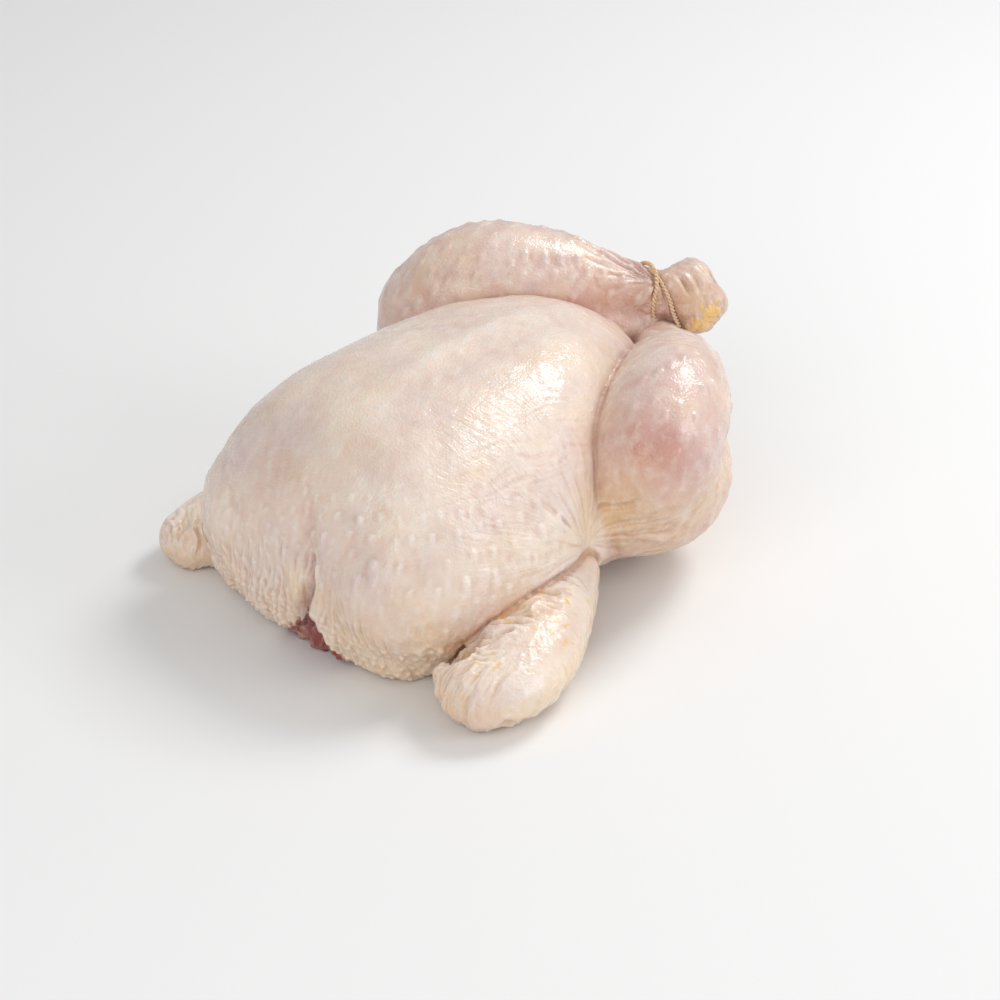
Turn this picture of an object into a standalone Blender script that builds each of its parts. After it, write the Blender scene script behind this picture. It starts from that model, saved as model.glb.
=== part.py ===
"""Whole raw chicken, trussed and lying on its back, with the twine round its ankles.

Axes: +X runs from the neck end to the hocks, +Y to the bird's left, +Z up.
The sections below are in units of 1/270 of the bird's length, in a working
frame whose origin lies on the resting plane at the neck. The last step moves
the bird so that its own origin is the bottom centre of its box.
"""

import math
from typing import NamedTuple

import bmesh
import bpy
import numpy as np
from mathutils import Vector
from mathutils.bvhtree import BVHTree

BIRD_LENGTH = 0.224  # from the neck end to the end of the hocks
UNIT = BIRD_LENGTH / 270.0
MM = 0.001 / UNIT  # a millimetre, in these units


class Section(NamedTuple):
    """One cross-section of the trunk, at a distance from the neck."""

    x: float
    half_width: float
    keel: float  # height of the breast
    back: float  # height of the back, below zero where the bird rests
    widest: float  # height of the widest level
    breast_power: float  # 2 is an ellipse, more is squarer
    back_power: float


class Ring(NamedTuple):
    """One cross-section of a limb: its centre, half-width and half-height."""

    x: float
    y: float
    z: float
    across: float
    high: float


# The trunk: blunt at the neck, fullest over the breast, pointed at the keel's tip.
TRUNK = [
    Section(-14, 0, 36, 33, 34, 2.2, 2.2),
    Section(-13, 24, 52, 18, 35, 2.2, 2.2),
    Section(-10.5, 46, 68, 9, 36, 2.3, 2.3),
    Section(-4, 63, 83, 3, 38, 2.3, 2.3),
    Section(6, 73, 96, 0, 40, 2.25, 2.4),
    Section(21, 79, 107, -3, 42, 2.2, 2.5),
    Section(45, 82, 115, -3, 43, 2.15, 2.5),
    Section(75, 82, 118, -3, 44, 2.15, 2.5),
    Section(103, 75, 119, -3, 44, 2.35, 2.4),
    Section(130, 62, 118, -2, 46, 2.6, 2.4),
    Section(153, 52, 113, 2, 50, 2.5, 2.3),
    Section(172, 42, 105, 10, 54, 2.3, 2.2),
    Section(185, 29, 96, 26, 60, 2.2, 2.1),
    Section(192, 16, 87, 44, 66, 2.0, 2.0),
    Section(194, 0, 72, 68, 70, 2.0, 2.0),
]

# Rounded shoulder lobes on both sides of the neck cleft, and the rolled rim of
# neck skin under them. The right lobe rests lower than the left.
LOBE_RIGHT = [Ring(50, -40, 46, 36, 42), Ring(32, -42, 44, 36, 42), Ring(23, -42, 40, 36, 40)]
LOBE_LEFT = [Ring(50, 42, 46, 36, 42), Ring(32, 45, 46, 36, 40), Ring(23, 46, 41, 36, 37)]
RIM_RIGHT = [Ring(20, -55, 17, 13, 15), Ring(9, -45, 14, 14, 15), Ring(4, -27, 17, 12, 14)]
RIM_LEFT = [
    Ring(24, 65, 22, 15, 18),
    Ring(9, 60, 20, 15, 17),
    Ring(5, 42, 18, 13, 14),
    Ring(4, 24, 19, 12, 13),
]

# Legs. The left ankle crosses over the right one.
ANKLE_RADIUS = 11.5
LEFT_ANKLE = (222.5, 1.5, 94.5)
RIGHT_ANKLE = (222.5, -1.5, 71.5)
DRUM_LEFT = [
    Ring(147, 76, 86, 25, 27),
    Ring(158, 66, 98, 27, 28),
    Ring(172, 53, 104, 27, 27),
    Ring(188, 37, 103, 22, 23),
    Ring(204, 20, 99, 16.5, 17),
    Ring(*LEFT_ANKLE, ANKLE_RADIUS, ANKLE_RADIUS),
    Ring(231, -4.5, 94, 13.5, 14),
    Ring(239.5, -9, 93, 15.5, 16.5),
]
DRUM_RIGHT = [
    Ring(137, -78, 80, 28, 29),
    Ring(154, -69, 86, 28, 29),
    Ring(172, -55, 85, 25, 26),
    Ring(189, -38, 78, 19.5, 21),
    Ring(206, -19, 73, 15, 16),
    Ring(*RIGHT_ANKLE, ANKLE_RADIUS, ANKLE_RADIUS),
    Ring(232, 7.5, 70, 12, 12.5),
    Ring(241, 14, 70, 14.5, 15),
]

# Thighs, folded back beside the pelvis.
THIGH_RIGHT = [
    Ring(177, -35, 43, 33, 36),
    Ring(161, -52, 47, 38, 40),
    Ring(145, -66, 56, 38, 38),
    Ring(135, -76, 70, 31, 32),
]
# Skin stretched from the drumstick down to the thigh.
WEB_RIGHT = [Ring(160, -62, 67, 29, 27), Ring(179, -50, 64, 28, 27), Ring(190, -37, 58, 23, 25)]
THIGH_LEFT = [
    Ring(179, 34, 40, 33, 36),
    Ring(165, 50, 44, 35, 38),
    Ring(151, 62, 55, 34, 36),
    Ring(145, 72, 71, 28, 30),
]
# The flank, where the thigh runs into the breast.
FLANK_RIGHT = [Ring(148, -52, 40, 26, 27), Ring(128, -58, 40, 24, 25), Ring(112, -60, 40, 20, 20)]

# Pelvis and tail, closing the vent end.
PELVIS = [
    Ring(120, 0, 34, 50, 32),
    Ring(165, 0, 34, 50, 34),
    Ring(190, 0, 40, 34, 30),
    Ring(202, 0, 42, 22, 20),
]
TAIL = [Ring(192, 0, 34, 20, 15), Ring(208, 0, 36, 15, 9), Ring(219, 0, 42, 10, 6)]

# Wings, folded flat beside the breast with their tips tucked under the back.
WING_RIGHT = [
    Ring(89, -76, 29, 10, 12),
    Ring(74, -82, 22, 15, 16),
    Ring(49, -91, 19, 21, 18),
    Ring(23, -98, 17, 24, 17),
    Ring(10, -96, 16, 22, 16),
]
WING_LEFT = [
    Ring(84, 78, 24, 11, 13),
    Ring(72, 82, 21, 15, 16),
    Ring(48, 88, 19, 17, 18),
    Ring(22, 92, 17, 18, 17),
    Ring(6, 92, 15, 16, 15),
]
UPPER_ARM = [Ring(34, -58, 34, 18, 20), Ring(66, -62, 28, 18, 20), Ring(80, -68, 26, 14, 15)]
WING_TIP = [Ring(12, -86, 10, 13, 9), Ring(28, -74, 7, 12, 7), Ring(52, -62, 6, 9, 5)]

# Neck cleft: a wedge pressed into the neck end, from its foot up to its head. It
# narrows from a mouth outside the skin to a blunt edge inside.
CLEFT_FOOT = (-17.0, -15.0, -4.0)
CLEFT_HEAD = (-12.0, -16.0, 50.0)
CLEFT_DEPTH = 15.0
CLEFT_HALF_WIDTH = 2.6
CLEFT_OUTSIDE = 8.0  # how far the mouth lies in front of the skin
CLEFT_MOUTH_SHARE = 2.5  # widths, as shares of the half-width
CLEFT_EDGE_SHARE = 0.15
CLEFT_STEPS = 8
CLEFT_LEAST = 0.02  # square of the smallest size, at the head

# Vent: a shallow puckered hollow between the tail and the tip of the breast.
VENT_PLACE = (211.0, 0.0, 60.0)
VENT_RADII = (13.0, 9.0, 7.0)

# The block that the resting plane cuts away, in metres.
RESTING_SIDE = 0.6
RESTING_DEPTH = 0.06
RESTING_MIDDLE_X = 0.1

# Twine: one cord, two turns round both ankles. Each row gives how far along X the
# first and the second turn lie, at an angle from the top, right side first.
TWINE_RADIUS = 0.8 * MM
TWINE_GAP = 0.32 * MM
TWINE_BITE = 0.4 * MM  # how deep the cord sits in the skin
TWINE_CENTRE = (225.0, 0.0, 83.0)
TWINE_SWAY = [
    (0, 0.0, 0.0),
    (40, -8.5, -2.0),
    (75, -11.0, 0.0),
    (105, -10.0, 6.0),
    (135, -2.0, 9.0),
    (180, -3.0, 3.0),
    (225, -8.5, -3.0),
    (270, -5.0, 0.0),
    (315, -0.5, 5.0),
    (360, 0.0, 0.0),
]
TWINE_STEPS = 44  # points in a turn
FAR_OUT = 30.0  # outside the ankles, in every direction from the twine's centre

# Mesh fineness.
RING_SIDES = 48
STEPS_PER_SECTION = 6
FUSE_VOXEL = 2.4
FUSE_SMOOTHING = 8
FACES_KEPT = 0.078
CAP_ANGLES = (20, 38, 55, 72, 88)  # where a limb's rounded end has its rings

SKIN_COLOUR = (0.80, 0.60, 0.50, 1.0)
TWINE_COLOUR = (0.62, 0.43, 0.24, 1.0)


def clear_scene():
    """Remove every object that the startup file holds."""
    for obj in list(bpy.data.objects):
        bpy.data.objects.remove(obj, do_unlink=True)


def principled(name, colour, roughness, metallic=0.0):
    """Return a material with one Principled BSDF of these values."""
    material = bpy.data.materials.new(name)
    material.use_nodes = True
    shader = material.node_tree.nodes["Principled BSDF"]
    shader.inputs["Base Color"].default_value = colour
    shader.inputs["Roughness"].default_value = roughness
    shader.inputs["Metallic"].default_value = metallic
    material.diffuse_color = colour
    return material


def smooth_rows(rows, steps):
    """Return rows read from a Catmull-Rom curve through the given rows."""
    given = np.array(rows, float)
    padded = np.vstack([2 * given[0] - given[1], given, 2 * given[-1] - given[-2]])
    count = (len(given) - 1) * steps + 1
    along = np.linspace(0, len(given) - 1, count)
    index = np.clip(along.astype(int), 0, len(given) - 2)
    f = (along - index)[:, None]
    a, b, c, d = (padded[index + k] for k in range(4))
    return b + 0.5 * f * ((c - a) + f * ((2 * a - 5 * b + 4 * c - d) + f * (3 * (b - c) + d - a)))


def rounded_ends(rings):
    """Return the rings with a half-ball of smaller rings added at each end."""

    def cap(end, inner):
        centre = Vector(end[:3])
        outward = (centre - Vector(inner[:3])).normalized()
        radius = (end.across + end.high) / 2
        steps = []
        for angle in CAP_ANGLES:
            place = centre + outward * radius * math.sin(math.radians(angle))
            share = math.cos(math.radians(angle))
            steps.append(Ring(*place, end.across * share, end.high * share))
        return steps

    return cap(rings[0], rings[1])[::-1] + list(rings) + cap(rings[-1], rings[-2])


def mirrored(rings):
    """Return the rings on the other side of the bird's middle plane."""
    return [ring._replace(y=-ring.y) for ring in rings]


def skin_over(name, loops):
    """Return a closed mesh object bridged over loops of points in units."""
    mesh = bmesh.new()
    rows = [[mesh.verts.new(Vector(point) * UNIT) for point in loop] for loop in loops]
    sides = len(rows[0])
    for low, high in zip(rows, rows[1:]):
        for k in range(sides):
            mesh.faces.new((low[k], low[(k + 1) % sides], high[(k + 1) % sides], high[k]))
    mesh.faces.new(rows[0][::-1])
    mesh.faces.new(rows[-1])
    bmesh.ops.recalc_face_normals(mesh, faces=mesh.faces)
    data = bpy.data.meshes.new(name)
    mesh.to_mesh(data)
    mesh.free()
    obj = bpy.data.objects.new(name, data)
    bpy.context.collection.objects.link(obj)
    return obj


def trunk_loops():
    """Return the trunk's cross-sections as loops of points."""
    loops = []
    angles = np.linspace(0, 2 * math.pi, 2 * RING_SIDES, endpoint=False)
    for row in smooth_rows(TRUNK, STEPS_PER_SECTION):
        section = Section(*row)
        width = max(section.half_width, 0.5)
        loop = []
        for angle in angles:
            c, s = math.cos(angle), math.sin(angle)
            power = section.breast_power if s >= 0 else section.back_power
            reach = section.keel if s >= 0 else section.back
            y = width * math.copysign(abs(c) ** (2 / power), c)
            z = section.widest + (reach - section.widest) * abs(s) ** (2 / power)
            loop.append((section.x, y, z))
        loops.append(loop)
    return loops


def limb_loops(rings):
    """Return a limb's cross-sections, each square to the limb's own line."""
    rows = smooth_rows(rounded_ends(rings), STEPS_PER_SECTION)
    centres = rows[:, :3]
    ahead = np.gradient(centres, axis=0)
    angles = np.linspace(0, 2 * math.pi, RING_SIDES, endpoint=False)
    loops = []
    for centre, direction, (across, high) in zip(centres, ahead, rows[:, 3:]):
        along = Vector(direction).normalized()
        side = along.cross(Vector((0, 0, 1))).normalized()
        up = side.cross(along)
        loops.append(
            [
                Vector(centre)
                + side * max(across, 0.4) * math.cos(angle)
                + up * max(high, 0.4) * math.sin(angle)
                for angle in angles
            ]
        )
    return loops


def joined(name, objects):
    """Return the objects' meshes as one object."""
    mesh = bmesh.new()
    for obj in objects:
        mesh.from_mesh(obj.data)
        bpy.data.objects.remove(obj, do_unlink=True)
    data = bpy.data.meshes.new(name)
    mesh.to_mesh(data)
    mesh.free()
    obj = bpy.data.objects.new(name, data)
    bpy.context.collection.objects.link(obj)
    return obj


def as_cutter(obj):
    """Mark an object as a cutter, which isn't part of the bird."""
    obj.hide_render = True
    obj.display_type = "WIRE"
    return obj


def ball(name, place, radii):
    """Return a stretched sphere, as a cutter."""
    mesh = bmesh.new()
    bmesh.ops.create_uvsphere(mesh, u_segments=24, v_segments=14, radius=1.0)
    for vert in mesh.verts:
        vert.co = Vector([(p + r * c) * UNIT for p, r, c in zip(place, radii, vert.co)])
    data = bpy.data.meshes.new(name)
    mesh.to_mesh(data)
    mesh.free()
    obj = bpy.data.objects.new(name, data)
    bpy.context.collection.objects.link(obj)
    return as_cutter(obj)


def cleft_cutter():
    """Return the wedge that opens the neck cleft, sharp at its inner edge."""
    foot, head = Vector(CLEFT_FOOT), Vector(CLEFT_HEAD)
    loops = []
    for step in range(CLEFT_STEPS + 1):
        share = step / CLEFT_STEPS
        centre = foot.lerp(head, share)
        size = math.sqrt(max(CLEFT_LEAST, 1 - share**2))
        deep, half = CLEFT_DEPTH * size, CLEFT_HALF_WIDTH * size
        mouth, edge = CLEFT_MOUTH_SHARE * half, CLEFT_EDGE_SHARE * half
        loops.append(
            [
                centre + Vector((-CLEFT_OUTSIDE, -mouth, 0)),
                centre + Vector((deep, -edge, 0)),
                centre + Vector((deep, edge, 0)),
                centre + Vector((-CLEFT_OUTSIDE, mouth, 0)),
            ]
        )
    return as_cutter(skin_over("cleft_cutter", loops))


def resting_cutter():
    """Return a block below the resting plane, which flattens the back."""
    mesh = bmesh.new()
    bmesh.ops.create_cube(mesh, size=1.0)
    for vert in mesh.verts:
        vert.co.x = vert.co.x * RESTING_SIDE + RESTING_MIDDLE_X
        vert.co.y *= RESTING_SIDE
        vert.co.z = (vert.co.z - 0.5) * RESTING_DEPTH
    data = bpy.data.meshes.new("resting_cutter")
    mesh.to_mesh(data)
    mesh.free()
    obj = bpy.data.objects.new("resting_cutter", data)
    bpy.context.collection.objects.link(obj)
    return as_cutter(obj)


def taut(reaches):
    """Return the reach of a taut loop at evenly spaced angles, bridging hollows."""
    count = len(reaches)
    angles = 2 * math.pi * np.arange(count) / count
    places = np.stack((np.sin(angles), np.cos(angles)), axis=1) * np.array(reaches)[:, None]
    bridged = list(reaches)
    for k, angle in enumerate(angles):
        ray = np.array((math.sin(angle), math.cos(angle)))
        for before in range(1, count // 2):
            for after in range(1, count // 2 - before):
                a, b = places[k - before], places[(k + after) % count]
                edge = b - a
                turned = ray[0] * edge[1] - ray[1] * edge[0]
                if abs(turned) > 1e-6:
                    crossing = (a[0] * edge[1] - a[1] * edge[0]) / turned
                    bridged[k] = max(bridged[k], crossing)
    return bridged


def twine_points(skin):
    """Return the closed line of the twine over the skin: two turns round the ankles."""
    angles = np.arange(TWINE_STEPS) * 360 / TWINE_STEPS
    table = np.array(TWINE_SWAY)
    points = []
    for turn in range(2):
        sways = np.interp(angles, table[:, 0], table[:, turn + 1])
        sways = (np.roll(sways, 1) + 2 * sways + np.roll(sways, -1)) / 4
        reaches, rays = [], []
        for angle, sway in zip(np.radians(angles), sways):
            ray = Vector((0, -math.sin(angle), math.cos(angle)))
            centre = Vector(TWINE_CENTRE) + Vector((sway, 0, 0))
            hit = skin.ray_cast((centre + ray * FAR_OUT) * UNIT, -ray, FAR_OUT * UNIT)[0]
            reaches.append((hit / UNIT - centre).length if hit else TWINE_RADIUS)
            rays.append((centre, ray))
        tight = np.array(taut(reaches))
        tight = (np.roll(tight, 1) + 2 * tight + np.roll(tight, -1)) / 4
        for angle, reach, (centre, ray) in zip(np.radians(angles), tight, rays):
            lift = (TWINE_RADIUS + 1.5 * TWINE_GAP) * math.cos(angle / 2)
            lift = lift if turn == 0 else -lift
            over = max(0.0, math.cos(angle)) ** 2  # only the crossing on top is raised
            clear = TWINE_RADIUS - TWINE_BITE + over * (lift + TWINE_RADIUS)
            points.append(centre + ray * (reach + clear))
    return points


def twine_tube(name, points, radius):
    """Return the twine as a closed tube of this radius."""
    curve = bpy.data.curves.new(name, "CURVE")
    curve.dimensions = "3D"
    curve.bevel_depth = radius * UNIT
    curve.bevel_resolution = 2
    spline = curve.splines.new("POLY")
    spline.points.add(len(points) - 1)
    for slot, point in zip(spline.points, points):
        slot.co = (*(Vector(point) * UNIT), 1.0)
    spline.use_cyclic_u = True
    obj = bpy.data.objects.new(name, curve)
    bpy.context.collection.objects.link(obj)
    return obj


def as_mesh(obj):
    """Replace a curve object by its mesh, which a Boolean can use."""
    graph = bpy.context.evaluated_depsgraph_get()
    data = bpy.data.meshes.new_from_object(obj.evaluated_get(graph))
    name = obj.name
    bpy.data.objects.remove(obj, do_unlink=True)
    solid = bpy.data.objects.new(name, data)
    bpy.context.collection.objects.link(solid)
    return solid


def cut(obj, cutter):
    """Add a Boolean that takes the cutter away from the object."""
    modifier = obj.modifiers.new(cutter.name, "BOOLEAN")
    modifier.operation = "DIFFERENCE"
    modifier.solver = "EXACT"
    modifier.object = cutter


def build_chicken():
    """Return the bird as one fused solid."""
    limbs = {
        "drum_left": DRUM_LEFT,
        "drum_right": DRUM_RIGHT,
        "thigh_left": THIGH_LEFT,
        "thigh_right": THIGH_RIGHT,
        "web_right": WEB_RIGHT,
        "web_left": mirrored(WEB_RIGHT),
        "flank_right": FLANK_RIGHT,
        "flank_left": mirrored(FLANK_RIGHT),
        "pelvis": PELVIS,
        "tail": TAIL,
        "lobe_left": LOBE_LEFT,
        "lobe_right": LOBE_RIGHT,
        "rim_left": RIM_LEFT,
        "rim_right": RIM_RIGHT,
        "wing_left": WING_LEFT,
        "wing_right": WING_RIGHT,
        "arm_left": mirrored(UPPER_ARM),
        "arm_right": UPPER_ARM,
        "tip_left": mirrored(WING_TIP),
        "tip_right": WING_TIP,
    }
    forms = [skin_over("trunk", trunk_loops())]
    forms += [skin_over(name, limb_loops(rings)) for name, rings in limbs.items()]
    chicken = joined("chicken", forms)

    fuse = chicken.modifiers.new("fuse", "REMESH")
    fuse.mode = "VOXEL"
    fuse.voxel_size = FUSE_VOXEL * UNIT
    fuse.use_smooth_shade = True
    relax = chicken.modifiers.new("relax", "SMOOTH")
    relax.factor = 0.5
    relax.iterations = FUSE_SMOOTHING
    thin = chicken.modifiers.new("thin", "DECIMATE")
    thin.ratio = FACES_KEPT
    chicken.data.materials.append(principled("skin", SKIN_COLOUR, 0.38))
    return chicken


def finish_chicken(chicken, line):
    """Cut the cleft, the vent, the flat of the back and the twine's groove."""
    cut(chicken, cleft_cutter())
    cut(chicken, ball("vent_cutter", VENT_PLACE, VENT_RADII))
    groove = twine_tube("twine_groove", line, TWINE_RADIUS + TWINE_GAP)
    cut(chicken, as_cutter(as_mesh(groove)))
    cut(chicken, resting_cutter())


def build_twine(line):
    """Return the twine as one closed cord."""
    twine = twine_tube("twine", line, TWINE_RADIUS)
    twine.data.materials.append(principled("twine", TWINE_COLOUR, 0.85))
    return twine


def centre_on_box(chicken):
    """Move everything so that the origin is the bottom centre of the bird's box."""
    bpy.context.view_layer.update()
    graph = bpy.context.evaluated_depsgraph_get()
    box = np.array(chicken.evaluated_get(graph).bound_box)
    low, high = box.min(axis=0), box.max(axis=0)
    shift = Vector((-(low[0] + high[0]) / 2, -(low[1] + high[1]) / 2, -low[2]))
    for obj in bpy.data.objects:
        obj.location = shift


def main():
    """Build the bird and its twine."""
    clear_scene()
    chicken = build_chicken()
    graph = bpy.context.evaluated_depsgraph_get()
    skin = BVHTree.FromObject(chicken, graph)
    line = twine_points(skin)
    finish_chicken(chicken, line)
    build_twine(line)
    centre_on_box(chicken)


main()
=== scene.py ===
"""A whole raw chicken, trussed and lying on its back: its skin, its twine and the studio.

Axes: +X runs from the neck end to the hocks, +Y to the bird's left, +Z up.
The forms are given in units of 1/270 of the bird's length, in a working frame
whose origin lies on the resting plane at the neck.
"""

import logging
import math
from dataclasses import dataclass, field
from enum import Enum
from itertools import product
from typing import NamedTuple, Sequence

import bpy
import numpy as np
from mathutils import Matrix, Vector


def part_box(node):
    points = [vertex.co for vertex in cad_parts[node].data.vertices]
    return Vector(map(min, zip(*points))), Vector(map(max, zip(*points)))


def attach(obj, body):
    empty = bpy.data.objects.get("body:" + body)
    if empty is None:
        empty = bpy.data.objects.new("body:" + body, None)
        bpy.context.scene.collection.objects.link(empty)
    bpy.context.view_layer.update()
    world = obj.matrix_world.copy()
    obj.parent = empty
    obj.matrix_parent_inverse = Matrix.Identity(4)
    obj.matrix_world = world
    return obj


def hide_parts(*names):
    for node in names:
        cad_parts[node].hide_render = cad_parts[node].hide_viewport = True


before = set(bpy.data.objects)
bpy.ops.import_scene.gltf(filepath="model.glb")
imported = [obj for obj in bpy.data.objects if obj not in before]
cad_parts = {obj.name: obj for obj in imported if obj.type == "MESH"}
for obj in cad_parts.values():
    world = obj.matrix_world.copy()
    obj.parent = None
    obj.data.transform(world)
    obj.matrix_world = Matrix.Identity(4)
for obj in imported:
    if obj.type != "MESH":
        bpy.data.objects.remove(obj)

import openvdb
from mathutils import Vector
from mathutils.bvhtree import BVHTree
from mathutils.kdtree import KDTree

LOG = logging.getLogger("chicken")
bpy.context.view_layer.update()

Array = np.ndarray
Triple = tuple[float, float, float]
Socket = bpy.types.NodeSocket
BIRD_LENGTH = 0.224  # metres, from the neck end to the end of the hocks
UNIT = BIRD_LENGTH / 270.0
MM = 0.001 / UNIT  # a millimetre, in working units
BOX_CORNER = (-15.17, -121.66, 0.0)  # lowest corner of the bird's box, in working units


# ------------------------------------------------------------------ helpers


def to_frame() -> Vector:
    """Return the place of the working frame's origin in the shared frame, in units."""
    low, _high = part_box("chicken")
    return low / UNIT - Vector(BOX_CORNER)


def ramp(values: Array, start: float, end: float) -> Array:
    """Return a smooth step from 0 at start to 1 at end.

    Args:
        values: Where to read the step.
        start: Where it leaves 0.
        end: Where it reaches 1. It may be less than start.

    Returns:
        Numbers from 0 to 1.
    """
    share = np.clip((values - start) / (end - start), 0.0, 1.0)
    return share * share * (3.0 - 2.0 * share)


def patch(points: Array, centre: Sequence[float], reach: Sequence[float]) -> Array:
    """Return a soft patch, 1 at its centre, on the surface.

    Args:
        points: Places to read, in units.
        centre: Middle of the patch.
        reach: How far it reaches along X, Y and Z.

    Returns:
        Numbers from 0 to 1.
    """
    apart = (points - np.array(centre)) / np.array(reach)
    return np.exp(-(apart**2).sum(axis=1))


def patches(points: Array, table: Sequence[tuple[float, Triple, Triple]]) -> Array:
    """Return the sum of soft patches: how strong, where, and how far each reaches."""
    return sum(strength * patch(points, centre, reach) for strength, centre, reach in table)


def bell(values: Array, width: float) -> Array:
    """Return 1 where the values are 0, fading away on both sides over the width."""
    return np.exp(-((values / width) ** 2))


def evened(values: Array) -> Array:
    """Return a closed row of numbers, each evened twice with its neighbours."""
    for _ in range(2):
        values = (np.roll(values, 1) + 2 * values + np.roll(values, -1)) / 4
    return values


def curve(a: Array, b: Array, c: Array, d: Array, share: float | Array) -> Array:
    """Return places on a Catmull-Rom curve, this share of the way from b to c."""
    bend = (c - a) + share * ((2 * a - 5 * b + 4 * c - d) + share * (3 * (b - c) + d - a))
    return b + 0.5 * share * bend


def between_cells(cells: Array, base: Array, share: Array) -> Array:
    """Return a table's values at places that lie between its cells.

    Args:
        cells: The table, which repeats beyond its ends.
        base: The cell before each place.
        share: How far each place lies towards the next cell, along each axis.

    Returns:
        One value for each place.
    """
    total = np.zeros(len(base))
    for corner in range(8):
        step = np.array([corner & 1, corner >> 1 & 1, corner >> 2 & 1])
        weight = np.where(step, share, 1.0 - share).prod(axis=1)
        i, j, k = ((base + step) % np.array(cells.shape)).T
        total += weight * cells[i, j, k]
    return total


def tree_of(places: Array) -> KDTree:
    """Return a tree that finds the nearest of these places, by its row."""
    tree = KDTree(len(places))
    for row, place in enumerate(places):
        tree.insert(place, row)
    tree.balance()
    return tree


def placed(name: str, data: bpy.types.ID) -> bpy.types.Object:
    """Return a new object made of this data, linked into the scene."""
    obj = bpy.data.objects.new(name, data)
    bpy.context.scene.collection.objects.link(obj)
    return obj


class Noise:
    """Smooth seeded noise from a table of random numbers that repeats."""

    SIZE = 64

    def __init__(self, seed: int) -> None:
        """Fill the table from the seed."""
        maker = np.random.default_rng(seed)
        self.table = maker.uniform(-1.0, 1.0, (self.SIZE,) * 3)
        self.offset = maker.uniform(0.0, self.SIZE, 3)

    def __call__(self, points: Array, cell: float | Sequence[float]) -> Array:
        """Return the noise at the points.

        Args:
            points: Places to read, three columns.
            cell: Size of one swell, the same or different along the columns.

        Returns:
            Numbers from about -1 to 1.
        """
        place = points / np.array(cell, float) + self.offset
        base = np.floor(place).astype(np.int64)
        share = place - base
        share = share * share * share * (share * (share * 6.0 - 15.0) + 10.0)
        return between_cells(self.table, base, share)

    def ridges(self, points: Array, cell: float | Sequence[float] = 1.0) -> Array:
        """Return the noise folded into ridges, 1 on a crest."""
        return 1.0 - np.abs(self(points, cell)) * 2.0


# ------------------------------------------------------------------ forms


class Section(NamedTuple):
    """One cross-section of the trunk, at a distance from the neck."""

    x: float
    half_width: float
    keel: float
    back: float
    widest: float
    breast_power: float
    back_power: float


class Ring(NamedTuple):
    """One cross-section of a limb: its centre, half-width and half-height."""

    x: float
    y: float
    z: float
    across: float
    high: float


class Shell(NamedTuple):
    """A closed surface: points and triangles."""

    points: Array
    triangles: Array


Rings = Sequence[Ring]


def rings(*rows: Sequence[float]) -> Rings:
    """Return rings from rows of their numbers."""
    return tuple(Ring(*row) for row in rows)


def mirrored(limb: Rings) -> Rings:
    """Return the rings on the other side of the bird's middle plane."""
    return tuple(ring._replace(y=-ring.y) for ring in limb)


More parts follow.
